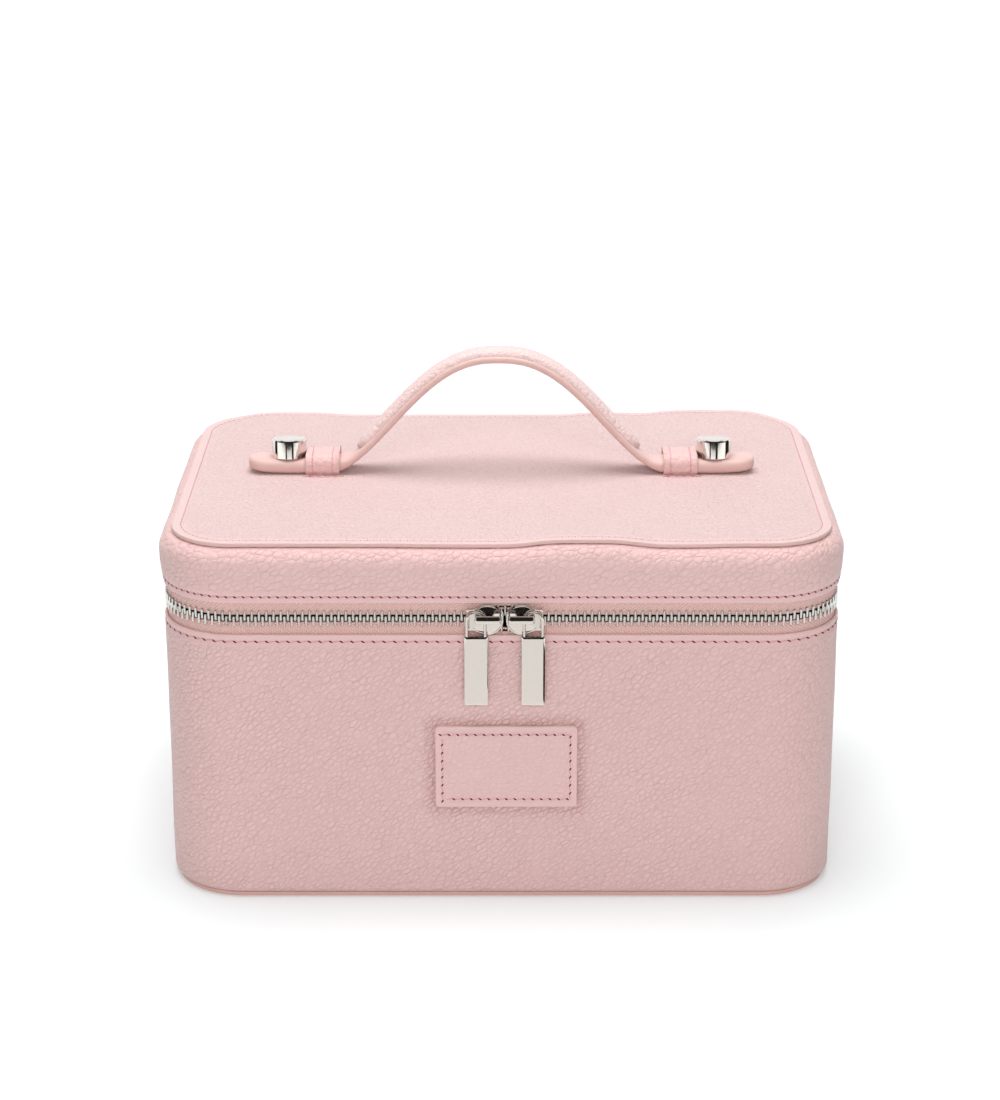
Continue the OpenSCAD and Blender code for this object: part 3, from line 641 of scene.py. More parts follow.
# %% [markdown]
# ## The body's leather wall
#
# One hide wraps the board box. It turns under the bottom with a 3 mm radius and folds over
# the rim. A closed profile is carried round the plan. A shallow groove runs where the thread
# pulls the leather down, and above it the leather is smooth.

# %% Body wall
BODY_STITCH_Z = BODY_H - 2.8
LID_STITCH_Z = LID_RIM + 2.7


def groove(z, line, depth, half=1.1):
    """Dip of a bell shape along the stitch line."""
    return -depth * np.exp(-(((z - line) / half) ** 2))


STITCH_GROOVE, BODY_DRIFT, LID_DRIFT = 0.28, 0.12, 0.14  # depth, slow unevenness


def wall_piece(name, profile, outside, line, drift, hide, body, node_name, lift=None):
    """A leather wall: the profile round the plan, uneven only on its outside. The grain fades
    out from the stitch line to the rim."""
    rows = np.column_stack([profile, np.ones(len(profile))])
    points, s = rings(rows, AROUND)
    out_dir = walk(s[:-1], CORNER_R)[1]
    uneven = swell(points[..., 0], points[..., 1], points[..., 2], drift) * outside[:, None]
    points[..., :2] += uneven[..., None] * out_dir
    if lift is not None:
        points[..., 2] += wave(points[..., 0], points[..., 1]) * lift[:, None]
    inside_line = (line - profile[:, 1]) * (-1 if line > ZIP_Z else 1)
    grain = 0.12 + 0.88 * smooth((inside_line - 0.6) / 2.2)
    skin = solid(points, "loop", u=s, v=distance(rows), grain=grain[:, None])
    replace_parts(piece(name, skin, hide, body, 60), node_name)


z_low = BASE_T + GAP
rise = np.concatenate([np.arange(z_low + FOOT_R + 1.5, BODY_STITCH_Z - 4, 1.9),
                       BODY_STITCH_Z + np.linspace(-3.2, 1.9, 14)])
outer = np.stack([CORNER_R + groove(rise, BODY_STITCH_Z, STITCH_GROOVE), rise], -1)
body_profile = np.concatenate([
    [[CORNER_R - TURN_IN, z_low]],
    arc(CORNER_R - FOOT_R, z_low + FOOT_R, FOOT_R, -90, 0, 8),
    outer,
    arc(CORNER_R - FOLD, BODY_H - FOLD, FOLD, 0, 180, 8),
    arc(CORNER_R - FOOT_R, z_low + FOOT_R, FOOT_R - WRAP_T, 0, -90, 4),
    [[CORNER_R - TURN_IN, z_low + WRAP_T]],
])
outside = np.zeros(len(body_profile))
outside[9:9 + len(rise)] = smooth((rise - 5) / 12) * smooth((BODY_H - rise) / 10)
wall_piece("body_leather", body_profile, outside, BODY_STITCH_Z, BODY_DRIFT, body_hide, "case",
           "body_wall")

# %% [markdown]
# ## The lid's leather wall
#
# The lid's wall is softer: foam swells it out past the body, and a 7 mm shoulder carries it
# under the top panel. The same carrying of a profile makes it, with the waves of the top
# added to the shoulder.

# %% Lid wall
z_rim = LID_RIM + FOLD
z_arc = SHOULDER_TOP - SHOULDER_R
rise = np.concatenate([z_rim + np.linspace(0.3, 4.6, 13), np.arange(z_rim + 5.6, z_arc, 1.1)])
share = (rise - z_rim) / (z_arc - z_rim)
lid_out = CORNER_R + LID_BULGE * (1 - (1 - share) ** 2)
arc_x = LID_R - SHOULDER_R
lid_profile = np.concatenate([
    arc(CORNER_R - FOLD, z_rim, FOLD, 180, 360, 8),
    np.stack([lid_out + groove(rise, LID_STITCH_Z, STITCH_GROOVE), rise], -1),
    arc(arc_x, z_arc, SHOULDER_R, 0, 90, 14),
    [[arc_x - TURN_IN / 2, SHOULDER_TOP], [arc_x - TURN_IN, SHOULDER_TOP],
     [arc_x - TURN_IN, SHOULDER_TOP - WRAP_T]],
    arc(arc_x, z_arc, SHOULDER_R - WRAP_T, 90, 0, 6),
    np.stack([lid_out[::-4] - WRAP_T, rise[::-4]], -1),
])
lift = smooth((lid_profile[:, 1] - z_arc) / SHOULDER_R)
outside = smooth((lid_profile[:, 1] - LID_STITCH_Z - 2) / 5)
outside[9 + len(rise) + 15:] = 0
wall_piece("lid_leather", lid_profile, outside, LID_STITCH_Z, LID_DRIFT, lid_hide, "lid",
           "lid_wall", lift)

# %% [markdown]
# ## Top panel and bottom panel
#
# Both are flat sheets with a rounded, painted edge. Loops run from the middle of the
# underside out to the edge and back in over the top, so the painted edge is simply a few
# rows of faces with the second material.

# %% Panels
def panel_rows(r, z0, z1, stitch_in=None, inner=11.2, half=0.4):
    """Rows of a plate: underside, edge with corners of radius half, upper side with a
    stitch groove."""
    shrink = np.linspace(0.12, 0.92, 4)
    under = [[inner, z0, k] for k in shrink] + [[inner, z0, 1]]
    edge = [[*p, 1] for p in arc(r - half, z0 + half, half, -90, 0, 5)]
    edge += [[*p, 1] for p in arc(r - half, z1 - half, half, 0, 90, 5)]
    d = np.concatenate([np.linspace(0.5, 7, 15), np.arange(8.2, r - half - inner, 1.6)])
    dip = groove(d + half, stitch_in, 0.2, 0.9) if stitch_in else 0 * d
    upper = [[r - half - a, z1 + b, 1] for a, b in zip(d, dip)]
    middle_rows = [[inner, z1, k] for k in np.linspace(0.97, 0.04, 26)]
    rows = np.array(under + edge + upper + middle_rows)
    paint = np.zeros(len(rows) - 1, int)
    paint[5:15] = 1  # the rows of the edge, up to its top corner
    return rows, paint


def plate_piece(name, rows, paint, materials, body, node_name, bent=False, grain=1.0):
    points, s = rings(rows, 440)
    if bent:
        points[..., 2] += wave(points[..., 0], points[..., 1])
    made = piece(name, solid(points, u=s, v=distance(rows), paint=paint, grain=grain),
                 materials, body, 50)
    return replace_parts(made, node_name)


PANEL_STITCH = 3.5
rows, paint = panel_rows(PANEL_R, PANEL_Z, LID_TOP, PANEL_STITCH)
smooth_band = np.where(rows[:, 2] < 1, 1, 0.25 + 0.75 * smooth((PANEL_R - rows[:, 0] - 3) / 3))
plate_piece("top_sheet", rows, paint, [top_hide, edge_paint], "lid",
            "top_panel", bent=True, grain=smooth_band[:, None])
rows, paint = panel_rows(CORNER_R - BASE_INSET, 0, BASE_T)
plate_piece("base_sole", rows[::-1] * [1, -1, 1] + [0, BASE_T, 0], paint[::-1],
            [trim_leather, base_edge], "case", "base_panel")

# %% [markdown]
# ## Linings
#
# Inside, a woven lining covers the board. It is a cup: a floor, a small radius, a wall and a
# rounded top, then back down the outside. The lid's cup is the same one upside down.

# %% Lining cups
LINING_T = 0.8
LINING_R = CORNER_R - WRAP_T - (TAPE_T + 2 * GAP) - 2.0 - GAP
BOARD_BOTTOM = BASE_T + WRAP_T + 2 * GAP
FLOOR_Z = BOARD_BOTTOM + 2.0 + GAP
LID_BOARD_TOP = SHOULDER_TOP - WRAP_T - GAP


def cup(name, floor, rim, body, node_name):
    """A cup between two heights: its floor at floor, its mouth at rim, LINING_T thick."""
    up = 1 if rim > floor else -1
    tall = abs(rim - floor)
    wall_in = LINING_R - LINING_T
    inside = [[12, LINING_T, k] for k in (0.1, 0.3, 0.5, 0.7, 0.9)]
    inside += [[*p, 1] for p in arc(wall_in - 3, LINING_T + 3, 3, -90, 0, 6)]
    inside += [[wall_in, z, 1] for z in np.linspace(LINING_T + 6, tall - 0.5, 8)]
    lip = [[*p, 1] for p in arc(LINING_R - LINING_T / 2, tall - 0.4, LINING_T / 2, 180, 0, 5)]
    outside = [[LINING_R, z, 1] for z in (tall * 0.5, 2.0)] + [[LINING_R - 1, 0, 1]]
    outside += [[12, 0, k] for k in (0.9, 0.5, 0.1)]
    rows = np.array(inside + lip + outside)
    rows[:, 1] = floor + up * rows[:, 1]
    points, s = rings(rows, 320)
    flow = distance(np.column_stack([rows[:, 0] * rows[:, 2] * 6, rows[:, 1]]))
    made = piece(name, solid(points, u=s, v=flow), lining_cloth, body, 50)
    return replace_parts(made, node_name)


cup("body_lining_cloth", FLOOR_Z, BODY_H - 0.4, "case", "body_lining")
cup("lid_lining_cloth", LID_BOARD_TOP - 2.0 - GAP, LID_RIM + 0.4, "lid", "lid_lining")

# %% [markdown]
# ## The zip
#
# A metal zip is two woven tapes with a row of teeth on each. The tape is a thin strip on the
# zip's line, with a thicker cord along its inner edge that the teeth grip. Each tooth is a
# small bevelled bar, drawn once and set down a few hundred times. Between the sliders the
# two rows swing apart a little.

# %% Zip tapes
TOOTH_PITCH, TOOTH_W, TOOTH_T, TOOTH_BACK, TOOTH_MESH = 2.7, 1.0, 2.4, 3.1, 0.9
TAPE_HIDDEN, TAPE_INNER, SPLAY, PAIR_X, STOP_L, ZIP_END_R = 9.0, 1.4, 2.2, 1.2, 3.0, 11.0
END_ANGLE = math.asin(1 - ZIP_END_R / PATH_R)
CORNER_L = PATH_R * math.pi / 2
TEETH_L = STRAIGHT_X + CORNER_L + 2 * STRAIGHT_Y + PATH_R * END_ANGLE
TAPE_L = TEETH_L + STOP_L + TOOTH_PITCH
HALVES = (("lower", -1, "case"), ("upper", 1, "lid"))  # a zip half, its way up, its body


def splay_at(s):
    """How far a row is swung open at s along the front: full near the sliders, nothing 9 mm
    away and round the corners."""
    return np.where(np.abs(s) < STRAIGHT_X, SPLAY * (1 - smooth((np.abs(s - PAIR_X) - 3) / 6)), 0)


def strip(s, section, up, opened=0.0):
    """A strip along the zip: section is [distance out from the zip's line, height] loops."""
    centre, out_dir = walk(s, PATH_R)
    out, high = section[None, :, :1], section[None, :, 1]
    flat = centre[:, None] + (PATH_R + out) * out_dir[:, None]
    z = ZIP_Z + up * (high + np.reshape(opened, (-1, 1)) * (high < 4))
    return with_third(flat, z[..., None])


def tape_section(inner, outer):
    """Section of the tape: a round cord at the inner edge, then a flat strip."""
    half = TAPE_T / 2
    cord = arc(0, inner + 0.55, 0.55, 330, 210, 6)[::-1]
    z = np.linspace(inner + 1.5, outer, 9)
    return np.concatenate([cord, np.stack([0 * z - half, z], -1),
                           np.stack([0 * z + half, z], -1)[::-1]])


section = tape_section(TAPE_INNER, ZIP_GAP / 2 + TAPE_HIDDEN)
s = np.linspace(-TAPE_L, TAPE_L, 440)
s = np.sort(np.concatenate([s, PAIR_X + np.linspace(-10, 10, 25)]))
for label, up, body in HALVES:
    cloth = solid(strip(s, section, up, splay_at(s)), u=distance_round(section), v=s)
    made = piece(f"zip_cloth_{label}", cloth, tape_cloth, body, 60)
    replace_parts(made, f"zip_tape_{label}")

# %% [markdown]
# ### Teeth
#
# The tooth is an eight-sided bar whose two ends are drawn in. Its head is slimmer, where it
# nests between two teeth of the other row.

# %% Zip teeth
def tooth_rows():
    """Loops of one tooth from its tail to its head: an octagon, narrowed at both ends."""
    bevel = 0.3
    w, d = TOOTH_W / 2, TOOTH_T / 2
    ring = np.array([[w - bevel, -d], [w, -d + bevel], [w, d - bevel], [w - bevel, d],
                     [bevel - w, d], [-w, d - bevel], [-w, bevel - d], [bevel - w, -d]])
    z = np.array([-TOOTH_BACK, -TOOTH_BACK + 0.3, -1.2, 0.0, TOOTH_MESH - 0.25, TOOTH_MESH])
    k = np.array([[0.82, 0.8], [0.95, 1], [0.95, 1], [1, 0.95], [1, 0.9], [0.85, 0.65]])
    return with_third(ring[None] * k[:, None], z[:, None, None])


def teeth(label, up, body, phase):
    """One row: the tooth set down every pitch, the upper row half a pitch further on."""
    n = math.floor((TEETH_L - STOP_L) / TOOTH_PITCH - 0.5)
    at = (np.arange(-n, n + 1) + phase) * TOOTH_PITCH
    centre, out_dir = walk(at, PATH_R)
    place = centre + PATH_R * out_dir
    one = tooth_rows()[None]
    side = np.stack([-out_dir[:, 1], out_dir[:, 0]], -1)
    flat = (place[:, None, None] + one[..., :1] * side[:, None, None]
            - one[..., 1:2] * out_dir[:, None, None])
    z = ZIP_Z - up * (one[..., 2] - splay_at(at)[:, None, None])
    made = piece(f"zip_row_{label}", solid(with_third(flat, z[..., None])),
                 tooth_metal, body, 25)
    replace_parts(made, f"zip_teeth_{label}")


for (label, up, body), phase in zip(HALVES, (0.0, 0.5)):
    teeth(label, up, body, phase)

# %% [markdown]
# ## The leather hinge
#
# Behind the case the zip gives way to a strip of leather, sewn in behind both rims. The real
# strip bends where the lid turns; here it is one strip from the body below the hinge line to
# the lid above it.

# %% Hinge strip
HINGE_BEND = 4.5  # the strip bends over this height below and above the hinge line
total = outline_length(PATH_R)
start = TAPE_L + PATH_R * math.radians(1.0)
s = np.linspace(start, total - start, 220)
reach = ZIP_GAP / 2 + TAPE_HIDDEN
z = np.concatenate([np.linspace(-reach, -5, 6), np.linspace(-HINGE_BEND, HINGE_BEND, 19),
                    np.linspace(5, reach, 6)])
half = TAPE_T / 2
section = np.concatenate([np.stack([0 * z + half, z], -1), np.stack([0 * z - half, z], -1)[::-1]])
skin = solid(strip(s, section, 1), u=distance_round(section), v=s, grain=0.6)
hinge = piece("hinge_strip", skin, trim_leather, sharp=60)
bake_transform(hinge)
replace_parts(hinge, "hinge_leather_lower", "hinge_leather_upper")

# %% [markdown]
# ## Sliders
#
# A slider is a teardrop plate in front of the teeth and another behind, joined by a post
# between the rows. The front plate has a thin bright rim round a low dome, small lips fold
# over the tape at the narrow end, and a bridge holds the pull's wire. Each is its own skin,
# and all of them are one object.

# %% Slider shapes
SLIDER_L, SLIDER_H, SLIDER_TAIL_H, PLATE_T, PAIR_GAP = 13.85, 11.6, 8.0, 1.3, 0.9
SLIDER_Y = TOOTH_T / 2 + 0.2
PLATE_OUT = SLIDER_Y + PLATE_T
BRIDGE_H, BRIDGE_Z, BRIDGE_ROOM, BRIDGE_T = 2.0, 1.6, 2.6, 1.4
BAR_Y = PLATE_OUT + BRIDGE_ROOM
BAIL_Y = PLATE_OUT + BRIDGE_ROOM / 2
BAR_X, BAR_L, POST_W = 0.75, 10.05, 1.1
TAB_W, TAB_L, TAB_T, TAB_BEVEL = 8.8, 27.5, 1.9, 0.4
WIRE_D, BAIL_R, BAIL_L, BAIL_SEAT, BOW_ROOM = 1.2, 3.4, 6.0, 2.6, 0.4
PULL_X = BAR_X + BAR_L - POST_W / 2
HANG = BAIL_R - (BRIDGE_H + WIRE_D) / 2 - BOW_ROOM - BRIDGE_Z
# The bar's section: [distance out, height over the bridge's middle], with a front that
# leans back, so that it mirrors the dark space over the camera.
BRIDGE_SECTION = np.array([
    [0, -1.75], [0.75, -1.75], [1.0, -1.6], [1.22, -0.9], [1.205, -0.4], [1.2, -0.35],
    [1.19, -0.3], [0.85, 1.0], [0.7, 1.18], [0.5, 1.25], [0, 1.25]])


def at_slider(points, side):
    """From the slider's own frame (x outwards from the pair, y into the case) to the case's."""
    points = np.asarray(points, float)
    return np.stack([PAIR_X + side * (PAIR_GAP / 2 + points[..., 0]),
                     -PATH_Y + points[..., 1], ZIP_Z + points[..., 2]], -1)


def teardrop(n=36):
    """Outline in x and z: half height sqrt(r^2 - (r - x)^2) on the round end, then a smooth
    step down to the narrow end. Returned as a closed loop of 2 n points."""
    r = SLIDER_H / 2
    round_x = r - r * np.cos(np.linspace(0.04, math.pi / 2, n // 2))
    tail_x = np.linspace(r, SLIDER_L, n - n // 2 + 1)[1:]
    step = smooth((tail_x - r - 0.6) / (SLIDER_L - r - 2.2))
    half = np.concatenate([np.sqrt(r * r - (r - round_x) ** 2), r + (SLIDER_TAIL_H / 2 - r) * step])
    x = np.concatenate([round_x, tail_x])
    return np.concatenate([np.stack([x, half], -1), np.stack([x, -half], -1)[::-1]])


def shrink_rows(loop, rows, centre):
    """Loops [inset, y, share] of an outline: moved inwards by inset, then drawn to centre."""
    ahead = np.roll(loop, -1, 0) - np.roll(loop, 1, 0)
    normal = np.stack([-ahead[:, 1], ahead[:, 0]], -1)
    normal /= np.linalg.norm(normal, axis=1)[:, None]
    inward = np.sign(np.sum(normal * (centre - loop))) * normal
    rows = np.asarray(rows, float)
    flat = centre + (loop + rows[:, None, :1] * inward - centre) * rows[:, None, 2:3]
    y = np.broadcast_to(rows[:, None, 1], flat.shape[:2])
    return np.stack([flat[..., 0], y, flat[..., 1]], -1)


def bevelled_box(x0, x1, y0, y1, z0, z1, b):
    """A box with all edges bevelled by b: loops along x of an eight-sided section."""
    w, h = (y1 - y0) / 2, (z1 - z0) / 2
    ring = np.array([[w - b, h], [w, h - b], [w, b - h], [w - b, -h], [b - w, -h], [-w, b - h],
                     [-w, h - b], [b - w, h]])
    x = np.array([x0, x0 + b, x1 - b, x1])
    k = np.array([[1 - b / w, 1 - b / h], [1, 1], [1, 1], [1 - b / w, 1 - b / h]])
    flat = ring[None] * k[:, None] + [(y0 + y1) / 2, (z0 + z1) / 2]
    return np.concatenate([np.broadcast_to(x[:, None, None], flat.shape[:2] + (1,)), flat], -1)


def sweep(path, section, flat_normal):
    """A section carried along a path: each loop lies across the path's direction. The first
    section axis is flat_normal x direction, the second is flat_normal itself."""
    path = np.asarray(path, float)
    ahead = np.gradient(path, axis=0)
    ahead /= np.linalg.norm(ahead, axis=1)[:, None]
    side = np.cross(np.asarray(flat_normal, float), ahead)
    return (path[:, None] + section[None, :, :1] * side[:, None]
            + section[None, :, 1:] * np.asarray(flat_normal, float))


def round_section(w, h, r, n=3):
    """A rounded rectangle w by h as a closed loop."""
    return np.concatenate([arc(sx * (w / 2 - r), sy * (h / 2 - r), r, a, a + 90, n)
                           for sx, sy, a in ((1, 1, 0), (-1, 1, 90), (-1, -1, 180), (1, -1, 270))])


print("a pull hangs from", round(HANG, 2), "mm under the zip's line")

# %% [markdown]
# ### The skins of a slider
#
# Plate, dome and back are the teardrop's outline, drawn in row by row. The post is a disc, the
# lips are bevelled boxes, and the bridge is its own section carried along a bent path.

# %% Sliders
def slider(label, side):
    """All the skins of one slider, and the object made of them."""
    loop, hub = teardrop(), np.array([6.2, 0.0])
    face_in, face_out = -SLIDER_Y, -PLATE_OUT
    front = [[0.5, face_in, 0.05], [0.5, face_in, 0.9], [0.15, face_in, 1], [0, face_in - 0.2, 1],
             [0, face_out + 0.3, 1], [0.12, face_out + 0.05, 1], [0.3, face_out, 1],
             [0.55, face_out, 1], [0.68, face_out + 0.14, 1]]
    dome = [[0.68, face_out + 0.14 - 0.75 * (1 - k * k), k]
            for k in (0.97, 0.9, 0.8, 0.68, 0.55, 0.42, 0.3, 0.18, 0.08, 0.02)]
    back = [[0.5, SLIDER_Y, 0.05], [0.5, SLIDER_Y, 0.9], [0, SLIDER_Y + 0.15, 1],
            [0, PLATE_OUT - 0.3, 1], [0.3, PLATE_OUT, 1], [0.6, PLATE_OUT, 0.5],
            [0.6, PLATE_OUT, 0.05]]
    plate = shrink_rows(loop, front + dome, hub)
    lean_back = 1 - 0.055 * (plate[..., 2] + SLIDER_H / 2)
    plate[..., 1] = -SLIDER_Y + (plate[..., 1] + SLIDER_Y) * lean_back
    skins = [plate, shrink_rows(loop, back, hub)]
    turn = np.linspace(0, 2 * math.pi, 20, endpoint=False)
    disc = np.stack([2.2 + 1.1 * np.cos(turn), 1.1 * np.sin(turn)], -1)
    skins.append(shrink_rows(disc, [[0, face_in, 1], [0, SLIDER_Y, 1]], np.array([2.2, 0.0])))
    for z in (-1, 1):
        z0, z1 = sorted((z * (SLIDER_TAIL_H / 2 - 0.85), z * (SLIDER_TAIL_H / 2 + 0.1)))
        for y in (-1, 1):
            y0, y1 = sorted((y * 0.55, y * (PLATE_OUT + 0.12)))
            skins.append(bevelled_box(SLIDER_L - 3.4, SLIDER_L + 0.05, y0, y1, z0, z1, 0.2))
    skins.append(bevelled_box(0.9, 4.1, -BAR_Y - 0.5, face_out + 0.8, BRIDGE_Z - 1.9,
                              BRIDGE_Z + 2.1, 0.6))
    bend = 0.8
    mid_y = -(BAR_Y + BRIDGE_T / 2)
    x0, x1 = BAR_X + POST_W / 2, BAR_X + BAR_L - POST_W / 2
    path = np.concatenate([
        [[x0, face_out + 0.5], [x0, mid_y + bend + 0.4]],
        arc(x0 + bend, mid_y + bend, bend, 180, 270, 5),
        np.stack([np.linspace(x0 + 2, x1 - 2, 5), np.full(5, mid_y)], -1),
        arc(x1 - bend, mid_y + bend, bend, 270, 360, 5),
        [[x1, mid_y + bend + 0.4], [x1, face_out + 0.5]],
    ])
    bar = sweep(with_third(path, BRIDGE_Z), (BRIDGE_SECTION - [0.6, 0]) * [-1, 1], (0, 0, 1))
    made = piece(f"zip_slider_{label}", [solid(at_slider(p, side)) for p in skins + [bar]],
                 nickel, f"zip_slider_{label}", 28)
    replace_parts(made, f"slider_{label}")


for label, side in SIDES:
    slider(label, side)

# %% [markdown]
# ## Pulls
#
# A round wire bow passes behind the bridge's outer post, and its two legs are set into the
# top of a flat bar. The bar is plain polished metal with a bevel all round its face.

# %% Wire bows and pull tabs
def bow(label, side):
    """The wire: a circle of 12 points carried up one leg, over a half circle and down."""
    leg = BAIL_L + BAIL_SEAT
    path = np.concatenate([[[BAIL_R, -leg], [BAIL_R, -leg / 2]], arc(0, 0, BAIL_R, 0, 180, 20),
                           [[-BAIL_R, -leg / 2], [-BAIL_R, -leg]]])
    path = np.stack([PULL_X + path[:, 0], np.full(len(path), -BAIL_Y), path[:, 1] - HANG], -1)
    wire = sweep(path, arc(0, 0, WIRE_D / 2, 0, 330, 11), (0, 1, 0))
    made = piece(f"pull_wire_{label}", solid(at_slider(wire, side)), nickel,
                 f"pull_{label}", 50)
    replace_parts(made, f"bail_{label}")


def tab(label, side):
    """The bar: rounded rectangles [inset, y] from its back to its bevelled face."""
    middle = np.array([PULL_X, -HANG - BAIL_L - TAB_L / 2])
    y0, y1 = -BAIL_Y + TAB_T / 2, -BAIL_Y - TAB_T / 2
    bevel = TAB_BEVEL * 1.8
    rows = [[3.5, y0], [0.4, y0], [0.15, y0], [0, y0 - 0.15], [0, y1 + TAB_BEVEL + 0.1],
            [0.05, y1 + TAB_BEVEL], [bevel, y1 + 0.02], [bevel + 0.05, y1], [bevel + 0.1, y1],
            [bevel + 0.4, y1], [3.5, y1]]
    flat = np.stack([round_section(TAB_W - 2 * d, TAB_L - 2 * d, max(0.35 - d / 2, 0.05)) + middle
                     for d, y in rows])
    depth = np.broadcast_to(np.array(rows)[:, 1:], flat.shape[:2])
    bar = np.stack([flat[..., 0], depth, flat[..., 1]], -1)
    made = piece(f"pull_bar_{label}", solid(at_slider(bar, side)), nickel,
                 f"pull_{label}", 20)
    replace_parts(made, f"pull_tab_{label}")


for label, side in SIDES:
    bow(label, side)
    tab(label, side)

# %% [markdown]
# ## The handle strap
#
# The strap is a flat band with fully rounded, painted edges. In the middle it rises in an
# arch, and its two ends lie flat on the lid and can slide outwards under the loops. It is
# made as a left and a right half, which meet in the middle of the arch.

# %% Handle frame and arch
HANDLE_Y, LEAN, LID_CLEARANCE = 6.0, math.radians(5.0), 0.2
STRAP_W, STRAP_T, GRIP_EDGE_T, STRAP_HALF_L = 14.0, 5.0, 2.8, 100.9
END_DROP = 0.55  # what the leather at the strap's ends bulges below the flat strip
ARCH_H, ARCH_CURVE, ARCH_FOOT, ARCH_X = 43.8, 1.26, 67.0, -1.2
BEND_START, BEND_END, TIP_CURL = 7.0, 68.0, 1.2
EDGE_R = STRAP_T / 2
LEAN_Y = (STRAP_W / 2 - EDGE_R) * math.cos(LEAN) + EDGE_R
LEAN_Z = (STRAP_W / 2 - EDGE_R) * math.sin(LEAN) + EDGE_R
STRAP_Z = LID_TOP + LID_CLEARANCE + LEAN_Z - EDGE_R * math.cos(LEAN)


def on_handle(points, lean=LEAN):
    """From the handle's upright frame to the case's: leaned back about the strap's line."""
    x, y, v = np.moveaxis(np.asarray(points, float), -1, 0)
    return np.stack([x, HANDLE_Y + y * np.cos(lean) + v * np.sin(lean),
                     STRAP_Z - y * np.sin(lean) + v * np.cos(lean)], -1)


def arch_share(x):
    """0 at the crown, 1 at the foot: (distance / foot) to the power of the arch's curve."""
    return np.clip(np.abs(x - ARCH_X) / ARCH_FOOT, 0, 1) ** ARCH_CURVE


def arch(x):
    """Height of the strap's underside: the arch height times one minus a smoothstep. The
    tips, which lie free, curl up by the square of the way to their ends."""
    curl = TIP_CURL * np.clip((np.abs(x) - 84) / 17, 0, 1) ** 2
    return ARCH_H * (1 - smooth(arch_share(x))) + curl


def arch_slope(x):
    """Derivative of the arch: height * 6 t (1 - t) * curve * t / distance, falling outwards."""
    t, d = arch_share(x), np.maximum(np.abs(x - ARCH_X), 0.01)
    return -ARCH_H * 6 * t * (1 - t) * ARCH_CURVE * t / d * np.where(x < ARCH_X, -1, 1)


def along_arch(x, sections):
    """Sections (stations, points, [across, height]) set square to the arch at each x. The
    arch leans back, and its weight presses the strap's two ends flat onto the lid."""
    slope = arch_slope(x)[:, None]
    length = np.sqrt(slope ** 2 + 1)
    v = sections[..., 1]
    lean = LEAN * (1 - 0.9 * smooth((np.abs(x) - 56) / 14))[:, None]
    return on_handle(np.stack([x[:, None] - slope / length * v, sections[..., 0],
                               arch(x)[:, None] + v / length], -1), lean)


print("arch", ARCH_H, "mm high, foot", ARCH_FOOT, "mm from its middle")

# %% [markdown]
# ### The two halves of the strap
#
# A band with half-round edges is set square to the arch at each station. It is thinner under
# the grip, and at the tip it narrows along a circle.

# %% Strap halves
def strap_sections(w, t):
    """Flat bands of width w and thickness t with half-round edges, stacked for each x."""
    w, t = np.reshape(w, (-1, 1)), np.reshape(t, (-1, 1))
    turn = np.radians(np.linspace(-90, 90, 9))[None]
    r, a = t / 2, np.maximum(w / 2 - t / 2, 0.02)
    flat = np.linspace(0.8, -0.8, 5)[None]
    y = np.concatenate([a + r * np.cos(turn), a * flat, -a - r * np.cos(turn), -a * flat], 1)
    v = np.concatenate([r + r * np.sin(turn), t + 0 * flat + 0 * a, r - r * np.sin(turn),
                        0 * a * flat], 1)
    return np.stack([y, v], -1)


def bend_with_handle(made):
    """Bakes the piece's placement into its mesh."""
    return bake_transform(made)


STRAP_PAINT = np.r_[np.ones(8), np.zeros(6), np.ones(8), np.zeros(6)].astype(int)


def strap_half(label, side):
    """Stations from the arch's middle out to the flat, then round the tip."""
    tip_r = STRAP_W / 2
    tip_x = STRAP_HALF_L - tip_r
    x = np.concatenate([np.linspace(ARCH_X, side * (ARCH_FOOT + 4), 60),
                        side * np.linspace(ARCH_FOOT + 6, tip_x, 12)])
    t = GRIP_EDGE_T + (STRAP_T - GRIP_EDGE_T) * smooth((np.abs(x) - 58) / 8)
    a = np.radians(np.array([10, 20, 30, 40, 50, 60, 69, 77, 83, 87]))
    w_tip = STRAP_T + (STRAP_W - STRAP_T) * np.cos(a)
    t_tip = STRAP_T * (0.45 + 0.55 * np.sqrt(np.cos(a)))
    x_all = np.append(x, side * (tip_x + tip_r * np.sin(a)))
    drop = END_DROP * smooth((np.abs(x_all) - 58) / 8)
    wide = np.append(np.full(len(x), STRAP_W), w_tip)
    sections = strap_sections(wide, np.append(t, t_tip) + drop)
    sections[..., 1] -= drop[:, None]
    sections[len(x):, :, 1] += (STRAP_T - t_tip)[:, None] / 2
    skin = solid(along_arch(x_all, sections), v=np.abs(x_all), grain=0.3)
    skin["paint"][0] = np.tile(STRAP_PAINT, len(x_all) - 1)
    made = piece(f"strap_{label}", skin, [trim_leather, edge_paint], sharp=60)
    return bend_with_handle(made)


for label, side in SIDES:
    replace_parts(strap_half(label, side), "handle_strap")

# %% [markdown]
# ## The padded grip
#
# A strip of pebbled leather is drawn over padding on top of the strap. Its section is a low
# dome, and its two ends are rounded off like the end of a tongue. Like the strap, it comes
# in two halves that meet in the middle of the arch.

# %% Grip cover
GRIP_HALF_L, GRIP_W, GRIP_H, GRIP_END_R = 54.0, 11.4, 3.1, 5.5


